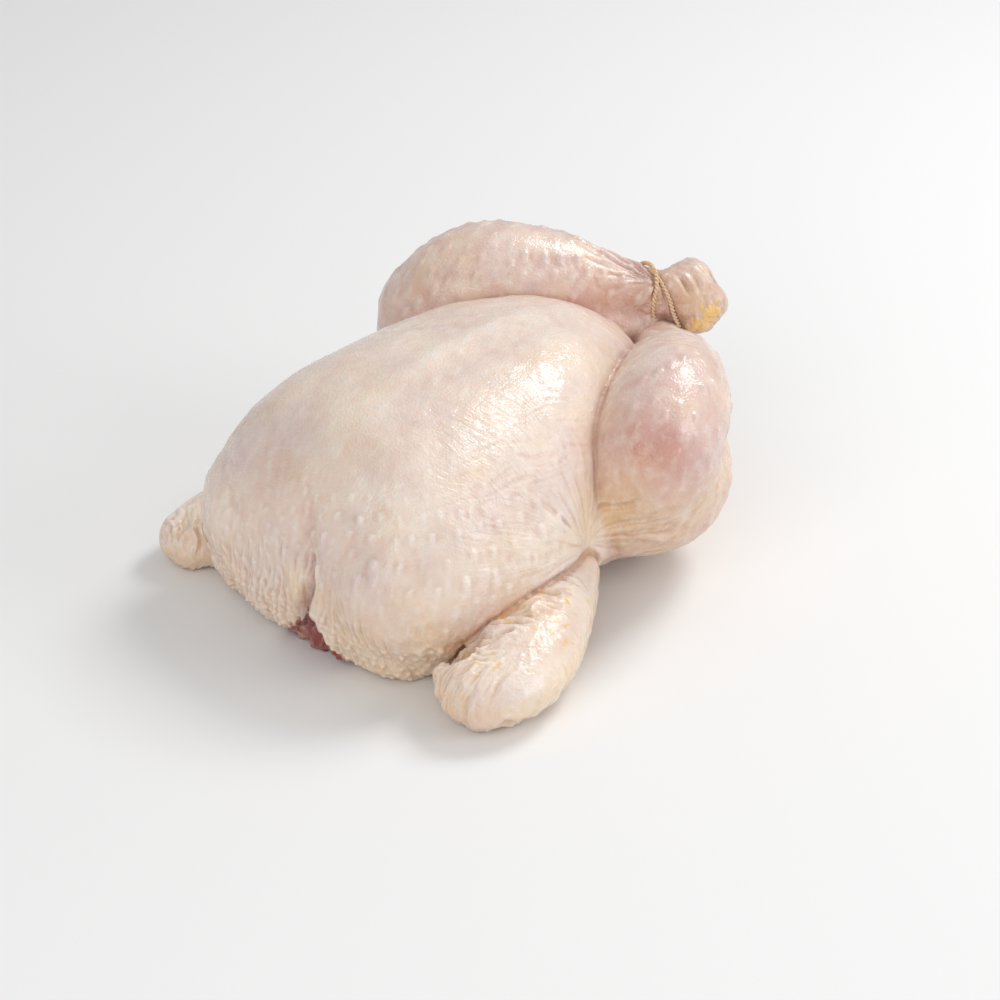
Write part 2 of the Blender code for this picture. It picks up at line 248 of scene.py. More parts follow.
@dataclass
class Loft:
    """Turns rows of sections into closed shells."""

    sides: int = 96
    steps: int = 8
    end_angles: Sequence[float] = (20, 38, 55, 72, 88)

    def smooth_rows(self, rows: Sequence[Sequence[float]]) -> Array:
        """Return rows read from a Catmull-Rom curve through the given rows.

        Args:
            rows: The given rows of numbers.

        Returns:
            More rows, with the given ones among them.
        """
        given = np.array(rows, float)
        padded = np.vstack([2 * given[0] - given[1], given, 2 * given[-1] - given[-2]])
        along = np.linspace(0, len(given) - 1, (len(given) - 1) * self.steps + 1)
        index = np.clip(along.astype(int), 0, len(given) - 2)
        return curve(*(padded[index + k] for k in range(4)), (along - index)[:, None])

    def end_ball(self, end: Ring, inner: Ring) -> list[Ring]:
        """Return the rings of a half-ball on the outer side of an end ring.

        Args:
            end: The limb's end ring.
            inner: Its neighbour inside the limb.

        Returns:
            Rings, from the limb outwards.
        """
        centre = Vector(end[:3])
        outward = (centre - Vector(inner[:3])).normalized()
        radius = (end.across + end.high) / 2
        ball = []
        for angle in map(math.radians, self.end_angles):
            place = centre + outward * radius * math.sin(angle)
            share = math.cos(angle)
            ball.append(Ring(*place, end.across * share, end.high * share))
        return ball

    def shell(self, loops: Array) -> Shell:
        """Return loops of points joined side by side and closed at both ends.

        Args:
            loops: Loops of points, all of the same length.

        Returns:
            The closed shell.
        """
        count, sides = loops.shape[:2]
        points = np.vstack([loops.reshape(-1, 3), loops[0].mean(axis=0), loops[-1].mean(axis=0)])
        row = np.arange(sides)
        nearer, further = row, (row + 1) % sides
        faces = []
        for low in range(count - 1):
            a, b = low * sides + nearer, low * sides + further
            c, d = b + sides, a + sides
            faces += [np.stack([a, b, c], 1), np.stack([a, c, d], 1)]
        first, last = count * sides, count * sides + 1
        top = (count - 1) * sides
        faces.append(np.stack([further, nearer, np.full(sides, first)], 1))
        faces.append(np.stack([top + nearer, top + further, np.full(sides, last)], 1))
        return Shell(points, np.vstack(faces))

    def trunk(self, sections: Sequence[Section]) -> Shell:
        """Return the trunk's shell over its cross-sections."""
        angles = np.linspace(0, 2 * math.pi, 2 * self.sides, endpoint=False)
        c, s = np.cos(angles), np.sin(angles)
        loops = []
        for row in self.smooth_rows(sections):
            section = Section(*row)
            power = np.where(s >= 0, section.breast_power, section.back_power)
            reach = np.where(s >= 0, section.keel, section.back)
            width = max(section.half_width, 0.5)
            y = width * np.copysign(np.abs(c) ** (2 / power), c)
            z = section.widest + (reach - section.widest) * np.abs(s) ** (2 / power)
            loops.append(np.stack([np.full_like(y, section.x), y, z], 1))
        return self.shell(np.array(loops))

    def limb(self, line: Rings) -> Shell:
        """Return a limb's shell, each cross-section square to the limb's own line."""
        ends = self.end_ball(line[0], line[1])[::-1], self.end_ball(line[-1], line[-2])
        rows = self.smooth_rows([*ends[0], *line, *ends[1]])
        ahead = np.gradient(rows[:, :3], axis=0)
        ahead /= np.linalg.norm(ahead, axis=1, keepdims=True)
        side = np.cross(ahead, (0.0, 0.0, 1.0))
        side /= np.linalg.norm(side, axis=1, keepdims=True)
        up = np.cross(side, ahead)
        angles = np.linspace(0, 2 * math.pi, self.sides, endpoint=False)[None, :, None]
        across = np.maximum(rows[:, 3], 0.4)[:, None, None]
        high = np.maximum(rows[:, 4], 0.4)[:, None, None]
        around = side[:, None] * across * np.cos(angles) + up[:, None] * high * np.sin(angles)
        return self.shell(rows[:, None, :3] + around)


@dataclass
class Volume:
    """A block of cells that holds distances to surfaces, negative inside."""

    low: Triple = (-26.0, -132.0, -12.0)
    high: Triple = (266.0, 122.0, 146.0)
    voxel: float = 1.0
    band: float = 11.0

    def __post_init__(self) -> None:
        """Work out the block's first cell and its shape."""
        self.first = np.floor(np.array(self.low) / self.voxel).astype(int)
        last = np.ceil(np.array(self.high) / self.voxel).astype(int)
        self.shape = tuple(last - self.first)
        self.transform = openvdb.createLinearTransform(voxelSize=self.voxel)

    def distance(self, shell: Shell) -> Array:
        """Return the distance to a shell in every cell, up to the band's width."""
        grid = openvdb.FloatGrid.createLevelSetFromPolygons(
            shell.points.astype(np.float32),
            triangles=shell.triangles.astype(np.uint32),
            transform=self.transform,
            halfWidth=self.band / self.voxel,
        )
        cells = np.empty(self.shape, np.float32)
        grid.copyToArray(cells, ijk=tuple(int(v) for v in self.first))
        return cells

    def axes(self) -> tuple[Array, Array, Array]:
        """Return the places of the cells along X, Y and Z, ready to be combined."""
        x, y, z = (
            (start + np.arange(count)) * self.voxel for start, count in zip(self.first, self.shape)
        )
        return (
            x[:, None, None].astype(np.float32),
            y[None, :, None].astype(np.float32),
            z[None, None, :].astype(np.float32),
        )

    def read(self, cells: Array, points: Array) -> Array:
        """Return the cells' value at each point, evened between cells."""
        place = points / self.voxel - self.first
        base = np.clip(np.floor(place).astype(int), 0, np.array(self.shape) - 2)
        return between_cells(cells, base, np.clip(place - base, 0.0, 1.0))

    def surface(self, cells: Array) -> tuple[Array, Array]:
        """Return the points and the quads of the surface where the distance is zero."""
        grid = openvdb.FloatGrid(float(self.band))
        grid.transform = self.transform
        grid.copyFromArray(cells, ijk=tuple(int(v) for v in self.first))
        points, quads = grid.convertToQuads(0.0)
        return points.astype(float), quads.astype(np.int64)


def blend(a: Array, b: Array, soft: float | Array) -> Array:
    """Return two volumes joined, with their meeting filled softly.

    Args:
        a: Distances to the first form.
        b: Distances to the second form.
        soft: How wide the filling is.

    Returns:
        Distances to the joined form.
    """
    near = np.clip(soft - np.abs(a - b), 0.0, None) / soft
    return np.minimum(a, b) - near * near * soft / 4.0


def softened(cells: Array, reach: float) -> Array:
    """Return the volume with everything narrower than the reach smoothed away.

    Args:
        cells: Distances in every cell.
        reach: Width of the smoothing, in cells.

    Returns:
        The smoothed distances.
    """
    half = max(1, round(reach / 2))
    width = 2 * half + 1
    for _ in range(3):
        for axis in range(3):
            wide = [(half + 1, half) if k == axis else (0, 0) for k in range(3)]
            total = np.cumsum(np.pad(cells, wide, mode="edge"), axis=axis, dtype=np.float64)
            count = cells.shape[axis]
            after = total.take(range(width, width + count), axis=axis)
            before = total.take(range(count), axis=axis)
            cells = ((after - before) / width).astype(np.float32)
    return cells


def carve(a: Array, b: Array, soft: float) -> Array:
    """Return volume a with b taken out of it, its edges rounded softly."""
    return -blend(-a, b, soft)


def ellipsoid(offsets: Sequence[Array], radii: Triple) -> Array:
    """Return about how far cells lie from an ellipsoid, by their offsets from its middle."""
    reach = np.sqrt(sum((offset / radius) ** 2 for offset, radius in zip(offsets, radii)))
    return (reach - 1.0) * min(radii)


class Part(Enum):
    """The parts that meet each other in a crease."""

    TORSO = "torso"
    LEG_RIGHT = "leg_right"
    LEG_LEFT = "leg_left"
    WING_RIGHT = "wing_right"
    WING_LEFT = "wing_left"


@dataclass
class BirdForms:
    """The bird's big forms, and how they run into each other."""

    trunk: Sequence[Section] = tuple(
        Section(*row)
        for row in (
            (-14, 0, 36, 33, 34, 2.2, 2.2),
            (-13, 24, 52, 18, 35, 2.2, 2.2),
            (-10.5, 46, 68, 9, 36, 2.3, 2.3),
            (-4, 63, 83, 3, 38, 2.3, 2.3),
            (6, 73, 96, 0, 40, 2.25, 2.4),
            (21, 79, 107, -3, 42, 2.2, 2.5),
            (45, 82, 115, -3, 43, 2.15, 2.5),
            (75, 82, 118, -3, 44, 2.15, 2.5),
            (103, 75, 119, -3, 44, 2.35, 2.4),
            (130, 62, 118, -2, 46, 2.6, 2.4),
            (153, 52, 113, 2, 50, 2.5, 2.3),
            (172, 42, 105, 10, 54, 2.3, 2.2),
            (185, 29, 96, 26, 60, 2.2, 2.1),
            (192, 16, 87, 44, 66, 2.0, 2.0),
            (194, 0, 72, 68, 70, 2.0, 2.0),
        )
    )
    lobe_right: Rings = rings((50, -40, 46, 36, 42), (32, -42, 44, 36, 42), (23, -42, 40, 36, 40))
    lobe_left: Rings = rings((50, 42, 46, 36, 42), (32, 45, 46, 36, 40), (23, 46, 41, 36, 37))
    rim_right: Rings = rings((20, -55, 17, 13, 15), (9, -45, 14, 14, 15), (4, -27, 17, 12, 14))
    rim_left: Rings = rings(
        (24, 65, 22, 15, 18), (9, 60, 20, 15, 17), (5, 42, 18, 13, 14), (4, 24, 19, 12, 13),
    )
    drum_left: Rings = rings(
        (147, 76, 86, 25, 27), (158, 66, 98, 27, 28), (172, 53, 104, 27, 27),
        (188, 37, 103, 22, 23), (204, 20, 99, 16.5, 17), (222.5, 1.5, 94.5, 11.5, 11.5),
        (231, -4.5, 94.5, 12.5, 13), (236, -7.5, 94, 13.5, 14),
    )
    knobs_left: Rings = rings(
        (241, -7, 99, 9.5, 9.5), (244, -17, 90, 7.5, 7.5), (237, -15, 84.5, 8.5, 8.5),
        (234, -2, 87, 10, 10),
    )
    drum_right: Rings = rings(
        (137, -78, 80, 28, 29), (154, -69, 86, 28, 29), (172, -55, 85, 25, 26),
        (189, -38, 78, 19.5, 21), (206, -19, 73, 15, 16), (222.5, -1.5, 71.5, 11.5, 11.5),
        (232, 7.5, 70, 12, 12.5), (238, 12, 70, 13, 13.5),
    )
    knobs_right: Rings = rings(
        (243, 12, 76, 9, 9), (246, 20, 67, 7.5, 7.5), (239, 19, 61, 8.5, 8.5),
    )
    thigh_right: Rings = rings(
        (177, -35, 43, 33, 36), (161, -52, 47, 38, 40), (145, -66, 56, 38, 38),
        (135, -76, 70, 31, 32),
    )
    thigh_left: Rings = rings(
        (179, 34, 40, 33, 36), (165, 50, 44, 35, 38), (151, 62, 55, 34, 36), (145, 72, 71, 28, 30),
    )
    web_right: Rings = rings((160, -62, 67, 29, 27), (179, -50, 64, 28, 27), (190, -37, 58, 23, 25))
    web_ankles: Rings = rings((184, 17, 86, 9, 10), (199, 5, 84, 8, 9), (212, -1, 83.5, 6, 7))
    knee_right: Rings = rings((131, -72, 62, 29, 28), (129, -66, 43, 27, 22))
    flank_right: Rings = rings(
        (148, -52, 40, 26, 27), (128, -58, 40, 24, 25), (112, -60, 40, 20, 20),
    )
    pelvis: Rings = rings(
        (120, 0, 34, 50, 32), (165, 0, 34, 50, 34), (190, 0, 40, 34, 30), (202, 0, 42, 22, 20),
    )
    tail: Rings = rings((192, 0, 34, 20, 15), (208, 0, 36, 15, 9), (219, 0, 42, 10, 6))
    wing_right: Rings = rings(
        (89, -76, 29, 10, 12), (74, -82, 22, 15, 16), (49, -91, 19, 21, 18), (23, -98, 17, 24, 17),
        (10, -96, 16, 22, 16),
    )
    wing_left: Rings = rings(
        (84, 78, 24, 11, 13), (72, 82, 21, 15, 16), (48, 88, 18, 17, 16), (22, 92, 14.5, 18, 14),
        (6, 92, 12.5, 16, 12.5),
    )
    upper_arm: Rings = rings((34, -58, 34, 18, 20), (66, -62, 28, 18, 20), (80, -68, 26, 14, 15))
    wing_tip: Rings = rings((12, -86, 10, 13, 9), (28, -74, 7, 12, 7), (52, -62, 6, 9, 5))
    cut_left: Sequence[float] = (249.5, -15.4, 98.0, 0.694, -0.529, 0.509)
    cut_right: Sequence[float] = (253.0, 19.0, 74.0, 0.72, 0.46, 0.52)
    vent_place: Triple = (211.0, 0.0, 60.0)
    vent_radii: Triple = (13.0, 9.0, 7.0)

    def torso(self, loft: Loft, volume: Volume) -> Array:
        """Return the trunk with its neck lobes, flanks, pelvis and tail."""
        body = volume.distance(loft.trunk(self.trunk))
        lobes = (self.lobe_right, self.lobe_left, self.rim_right, self.rim_left)
        flanks = (self.flank_right, mirrored(self.flank_right))
        for limb in (*lobes, self.pelvis, *flanks, self.tail):
            body = blend(body, volume.distance(loft.limb(limb)), 1.5)
        body = softened(body, 5.0 / volume.voxel)
        offsets = [axis - middle for axis, middle in zip(volume.axes(), self.vent_place)]
        return carve(body, ellipsoid(offsets, self.vent_radii), 3.0)

    def leg(
        self,
        loft: Loft,
        volume: Volume,
        parts: Sequence[Rings],
        knobs: Rings,
        cut_at: Sequence[float],
    ) -> Array:
        """Return a drumstick with its thigh, the skin between them and the cut hock.

        Args:
            loft: Makes the limbs' shells.
            volume: The block of cells.
            parts: The rings of each limb.
            knobs: Balls that make the hock's bony end.
            cut_at: A place on the cut across the hock, then the way it faces.

        Returns:
            Distances to the leg.
        """
        cells = [volume.distance(loft.limb(limb)) for limb in parts]
        leg = cells[0]
        for other in cells[1:]:
            leg = blend(leg, other, 3.0)
        x, y, z = volume.axes()
        thin = np.clip((x - 186.0) / 20.0, 0.0, 1.0)
        leg = leg * thin + softened(leg, 7.0 / volume.voxel) * (1.0 - thin)
        for knob in knobs:
            apart = (x - knob.x) ** 2 + (y - knob.y) ** 2 + (z - knob.z) ** 2
            leg = blend(leg, (np.sqrt(apart) - knob.across).astype(np.float32), 5.0)
        place, facing = np.array(cut_at[:3]), np.array(Vector(cut_at[3:]).normalized())
        plane = x * facing[0] + y * facing[1] + z * facing[2] - float(place @ facing)
        return carve(leg, -plane.astype(np.float32), 3.0)

    def wing(self, loft: Loft, volume: Volume, parts: Sequence[Rings]) -> Array:
        """Return a folded wing: forearm, upper arm and tip."""
        cells = [volume.distance(loft.limb(limb)) for limb in parts]
        wing = blend(blend(cells[0], cells[1], 3.0), cells[2], 2.0)
        return softened(wing, 2.0 / volume.voxel)

    def parts(self, loft: Loft, volume: Volume) -> dict[Part, Array]:
        """Return the distances to each part of the bird."""
        leg_right = (self.drum_right, self.thigh_right, self.web_right, self.knee_right)
        leg_left = (self.drum_left, self.thigh_left, mirrored(self.web_right), self.web_ankles)
        wing_right = (self.wing_right, self.upper_arm, self.wing_tip)
        wing_left = (self.wing_left, mirrored(self.upper_arm), mirrored(self.wing_tip))
        return {
            Part.TORSO: self.torso(loft, volume),
            Part.LEG_RIGHT: self.leg(loft, volume, leg_right, self.knobs_right, self.cut_right),
            Part.LEG_LEFT: self.leg(loft, volume, leg_left, self.knobs_left, self.cut_left),
            Part.WING_RIGHT: self.wing(loft, volume, wing_right),
            Part.WING_LEFT: self.wing(loft, volume, wing_left),
        }


@dataclass
class Cleft:
    """The tucked cleft between the neck lobes, and the torn skin at its foot."""

    foot: float = -14.0  # where it lies across the bird, at its foot
    bend: float = -4.2  # how far it bends to the right, further up
    bend_height: float = 41.0
    bend_reach: float = 9.0
    front: float = -12.5  # where the neck end's own surface lies
    torn_top: float = 24.0
    torn_left: float = 0.75  # how steeply the torn edge falls to the left
    torn_right: float = 1.55
    torn_depth: float = 6.5

    def middle(self, height: Array) -> Array:
        """Return where the cleft lies across the bird at each height."""
        return self.foot + self.bend * bell(height - self.bend_height, self.bend_reach)

    def torn_edge(self, y: Array) -> Array:
        """Return how high the skin is torn away, at each place across the bird."""
        jagged = 1.0 * np.sin(y * 1.05) + 0.8 * np.sin(y * 2.3 + 1.0)
        aside = y - self.foot
        return self.torn_top + jagged - np.maximum(self.torn_left * aside, -self.torn_right * aside)

    def carved(self, body: Array, volume: Volume) -> Array:
        """Return the body with the skin torn away at the foot of the cleft."""
        x, y, z = volume.axes()
        inward = x - self.front
        torn = np.maximum((z - self.torn_edge(y)) * 0.8, inward - self.torn_depth)
        return carve(body, torn.astype(np.float32), 2.0)

    def torn(self, points: Array) -> Array:
        """Return 1 on the exposed flesh and 0 on whole skin, with a soft edge."""
        x, y, z = points.T
        under = self.torn_edge(y) + 1.2 - z
        return ramp(under, -1.5, 1.5) * ramp(x, self.front + 16.0, self.front + 10.0)


@dataclass
class Pocket:
    """The hollow between the breast and the wrist of the right wing."""

    place: Triple = (10.0, -80.5, 36.0)
    radii: Triple = (16.0, 10.5, 17.0)
    turn: float = -0.13

    def carved(self, body: Array, volume: Volume) -> Array:
        """Return the body with the hollow pressed in from above."""
        x, y, z = volume.axes()
        dx, dy, dz = x - self.place[0], y - self.place[1], z - self.place[2]
        along = dx * math.cos(self.turn) - dy * math.sin(self.turn)
        across = dx * math.sin(self.turn) + dy * math.cos(self.turn)
        hollow = ellipsoid((along, across, dz), self.radii)
        return carve(body, hollow.astype(np.float32), 2.0)


# ------------------------------------------------------------------ skin


class Surface:
    """The skin's points and triangles while its relief is being worked in."""

    def __init__(self, points: Array, quads: Array) -> None:
        """Take the points and quads, and turn the faces outwards."""
        self.points = points
        triangles = np.concatenate([quads[:, [0, 1, 2]], quads[:, [0, 2, 3]]])
        a, b, c = (points[triangles[:, k]] for k in (0, 1, 2))
        if np.einsum("ij,ij->i", a, np.cross(b, c)).sum() < 0:
            triangles = triangles[:, ::-1]
        self.triangles = triangles
        self.find_edges()

    def find_edges(self) -> None:
        """Work out the edges, and which edges each triangle has."""
        corners = self.triangles
        pairs = np.stack([corners, np.roll(corners, -1, axis=1)], 2).reshape(-1, 2)
        pairs = np.sort(pairs, axis=1)
        key = pairs[:, 0] * len(self.points) + pairs[:, 1]
        found, index = np.unique(key, return_inverse=True)
        self.edges = np.stack(np.divmod(found, len(self.points)), 1)
        self.edges_of = index.reshape(-1, 3)
        self.valence = np.bincount(self.edges.ravel(), minlength=len(self.points))

    def refine(self, chosen: Array) -> None:
        """Split each triangle that touches a chosen point into four.

        Args:
            chosen: Whether each point is chosen.
        """
        corners, sides = self.triangles, self.edges_of
        split = np.zeros(len(self.edges), bool)
        split[sides[chosen[corners].any(axis=1)].ravel()] = True
        middle = np.full(len(self.edges), -1)
        middle[split] = len(self.points) + np.arange(split.sum())
        self.points = np.vstack([self.points, self.points[self.edges[split]].mean(axis=1)])
        mids = middle[sides]
        count = (mids >= 0).sum(axis=1)
        made = [corners[count == 0]]
        v, m = corners[count == 3].T, mids[count == 3].T
        for face in ((v[0], m[0], m[2]), (m[0], v[1], m[1]), (m[2], m[1], v[2]), tuple(m)):
            made.append(np.stack(face, 1))
        for turn in range(3):
            one = (count == 1) & (mids[:, turn] >= 0)
            v, m = np.roll(corners[one], -turn, axis=1).T, mids[one, turn]
            made += [np.stack([v[0], m, v[2]], 1), np.stack([m, v[1], v[2]], 1)]
            two = (count == 2) & (mids[:, (turn + 2) % 3] < 0)
            v = np.roll(corners[two], -turn, axis=1).T
            m, n = mids[two, turn], mids[two, (turn + 1) % 3]
            for face in ((v[0], m, v[2]), (m, v[1], n), (m, n, v[2])):
                made.append(np.stack(face, 1))
        self.triangles = np.concatenate(made)
        self.find_edges()

    def averaged(self, values: Array) -> Array:
        """Return each point's values averaged over its neighbours."""
        first, second = self.edges.T
        columns = values.reshape(len(values), -1)
        count = len(columns)
        sums = [
            np.bincount(first, weights=column[second], minlength=count)
            + np.bincount(second, weights=column[first], minlength=count)
            for column in columns.T
        ]
        mean = np.stack(sums, 1) / np.maximum(self.valence, 1)[:, None]
        return mean.reshape(values.shape)

    def relax(self, times: int, share: float | Array = 0.5) -> None:
        """Smooth the surface by moving each point towards its neighbours."""
        for _ in range(times):
            self.points += (self.averaged(self.points) - self.points) * share

    def normals(self) -> Array:
        """Return the outward direction at every point."""
        a, b, c = (self.points[self.triangles[:, k]] for k in range(3))
        face = np.cross(b - a, c - a)
        total = np.zeros_like(self.points)
        for k in range(3):
            for axis in range(3):
                total[:, axis] += np.bincount(
                    self.triangles[:, k], weights=face[:, axis], minlength=len(total)
                )
        length = np.linalg.norm(total, axis=1, keepdims=True)
        return total / np.maximum(length, 1e-9)

    def raise_by(self, heights: Array) -> None:
        """Move every point outwards by its height."""
        self.points += self.normals() * heights[:, None]


@dataclass
class Belonging:
    """How much each point of the skin belongs to each part, and how near a crease it is."""

    torso: Array
    leg_right: Array
    leg_left: Array
    wing_right: Array
    wing_left: Array
    cut: Array  # how deep each point lies under the uncut form

    def share(self, part: Part, width: float = 2.0) -> Array:
        """Return 1 where the part is outermost, 0 where another one is.

        Args:
            part: Which part.
            width: How wide the change between parts is.

        Returns:
            Numbers from 0 to 1.
        """
        own = getattr(self, part.value)
        others = [getattr(self, other.value) for other in Part if other is not part]
        return ramp(np.minimum.reduce(others) - own, -width, width)

    def legs(self) -> Array:
        """Return 1 on both legs and 0 elsewhere."""
        return np.maximum(self.share(Part.LEG_RIGHT), self.share(Part.LEG_LEFT))

    def wings(self) -> Array:
        """Return 1 on both wings and 0 elsewhere."""
        return np.maximum(self.share(Part.WING_RIGHT), self.share(Part.WING_LEFT))

    def crease(self, limb: Part, width: float) -> Array:
        """Return 1 in the crease between the torso and a limb, fading over this width."""
        return bell(np.abs(self.torso) + np.abs(getattr(self, limb.value)), width)


@dataclass
class Follicles:
    """The small bumps that the plucked feathers leave, scattered over the skin."""

    seed: int = 11
    candidates: int = 60000
    least: float = 3.0  # the nearest that two bumps may stand
    apart: Triple = (9.0, 7.5, 4.6)  # on the torso, the legs and the wings
    high: Triple = (0.12, 0.42, 0.13)
    back_high: float = 0.25
    row_height: float = 1.15
    bump_high: float = 2.0
    radius: float = 0.85  # of the smallest bump, which grows with the space it has
    growth: float = 0.07
    above: float = 1.2  # how far a bump reaches up and down the skin, in radii
    below: float = 2.8

    def by_part(self, parts: Belonging, values: Triple) -> Array:
        """Return a number for each point: the torso's, the legs' or the wings'."""
        legs, wings = parts.legs(), parts.wings()
        mixed = values[0] * (1 - legs) + values[1] * legs
        return mixed * (1 - wings) + values[2] * wings

    def strength(self, points: Array, normals: Array, parts: Belonging) -> Array:
        """Return how high the bumps stand at each point, in units."""
        height = self.by_part(parts, self.high)
        back = ramp(normals[:, 2], -0.2, -0.8)
        height = height * (1 - back) + self.back_high * back
        return height * ramp(points[:, 0], 236.0, 214.0) * ramp(parts.cut, 1.0, 0.2)

    def rows(self, surface: Surface, parts: Belonging) -> Array:
        """Return the height of the bumps that stand in rows over the breast.

        Args:
            surface: The skin so far.
            parts: Which part each point belongs to.

        Returns:
            Heights in units.
        """
        points, normals = surface.points, surface.normals()
        x, y, z = points.T
        around = np.arctan2(y, 50.0 - x)
        lift = np.arctan2(z - 40.0, np.hypot(x - 50.0, y))
        total = np.zeros(len(points))
        torso = parts.share(Part.TORSO) * ramp(parts.cut, 1.0, 0.2)
        torso *= ramp(normals[:, 2], -0.95, -0.7)
        upper = ramp(z, 44.0, 56.0) * ramp(z, 100.0, 72.0)
        upper *= 0.40 + 0.60 * ramp(y, 24.0, -30.0) * ramp(x, 88.0, 60.0)
        middle = ramp(z, 66.0, 48.0) * ramp(z, 16.0, 26.0) * ramp(x, 70.0, 30.0)
        lower = ramp(z, 32.0, 20.0) * ramp(x, 50.0, 20.0)
        maker = np.random.default_rng(self.seed + 2)
        for wide, tall, strength, size_across, size_above, size_below in (
            (0.150, 0.118, 0.9 * upper, 0.13, 0.11, 0.36),
            (0.100, 0.130, 0.8 * middle, 0.21, 0.16, 0.46),
            (0.060, 0.056, 0.8 * lower, 0.25, 0.22, 0.34),
        ):
            table = maker.uniform(0.0, 1.0, (64, 64, 3))
            column = around / wide + Noise(15)(points, 34.0) * 0.5
            row = lift / tall + Noise(17)(points, 34.0) * 0.4
            base = np.floor(row).astype(int)
            best = np.zeros(len(points))
            for dr in (-1, 0, 1):
                line = base + dr
                shifted = column + 0.5 * (line % 2)
                cell = np.floor(shifted).astype(int)
                for dc in (-1, 0, 1):
                    place = cell + dc
                    jitter = table[line % 64, place % 64]
                    u = (shifted - place - 0.5 - 0.34 * (jitter[:, 0] - 0.5)) / size_across
                    v = line + 0.5 + 0.34 * (jitter[:, 1] - 0.5) - row
                    v = np.where(v < 0, v / size_above, v / size_below)
                    size = 0.35 + 0.75 * jitter[:, 2]
                    best = np.maximum(best, size * np.exp(-u * u - v * v))
            total += strength * best
        return torso * total * self.row_height

    def sites(self, points: Array, spacing: Array) -> Array:
        """Return the points that carry a bump, none nearer than its own spacing."""
        maker = np.random.default_rng(self.seed)
        taken: dict[tuple[int, ...], list[int]] = {}
        chosen = []
        for index in map(int, maker.permutation(len(points))[: self.candidates]):
            place, room = points[index], spacing[index]
            home = [int(v) for v in np.floor(place / self.least)]
            steps = math.ceil(room / self.least)
            around = product(*(range(v - steps, v + steps + 1) for v in home))
            others = (other for cell in around for other in taken.get(cell, ()))
            if all(sum((points[other] - place) ** 2) >= room * room for other in others):
                taken.setdefault(tuple(home), []).append(index)
                chosen.append(index)
        return np.array(chosen)

    def bumps(self, surface: Surface, parts: Belonging) -> tuple[Array, Array]:
        """Return the height and the tint of the bumps at every point.

        Args:
            surface: The skin so far.
            parts: Which part each point belongs to.

        Returns:
            Heights in units, and a number from 0 to 1 that is 1 on a bump's tip.
        """
        points, normals = surface.points, surface.normals()
        spacing = np.maximum(self.by_part(parts, self.apart), self.least)
        strength = self.strength(points, normals, parts)
        sites = self.sites(points, spacing)
        tree = tree_of(points[sites])
        nearest = sites[np.array([tree.find(point)[1] for point in points])]
        maker = np.random.default_rng(self.seed + 1)
        vary = maker.uniform(0.35, 1.2, len(points))[nearest]
        long = maker.uniform(0.8, 1.35, len(points))[nearest]
        down = np.array((0.0, 0.0, -1.0)) + normals * normals[:, 2:3]
        down += 0.35 * np.array((-1.0, 0.0, 0.0))
        down -= normals * (down * normals).sum(axis=1, keepdims=True)
        down /= np.maximum(np.linalg.norm(down, axis=1, keepdims=True), 1e-6)
        apart = points - points[nearest]
        along = (apart * down[nearest]).sum(axis=1)
        across = np.sqrt(np.maximum((apart**2).sum(axis=1) - along**2, 0.0))
        radius = self.growth * spacing[nearest] + self.radius
        reach = along / (radius * np.where(along < 0, self.above, self.below * long))
        shape = np.exp(-(reach**2) - (across / radius) ** 2)
        height = strength[nearest] * vary * self.bump_high * shape
        return height, shape * np.clip(strength[nearest] * vary * 2.2, 0, 1)


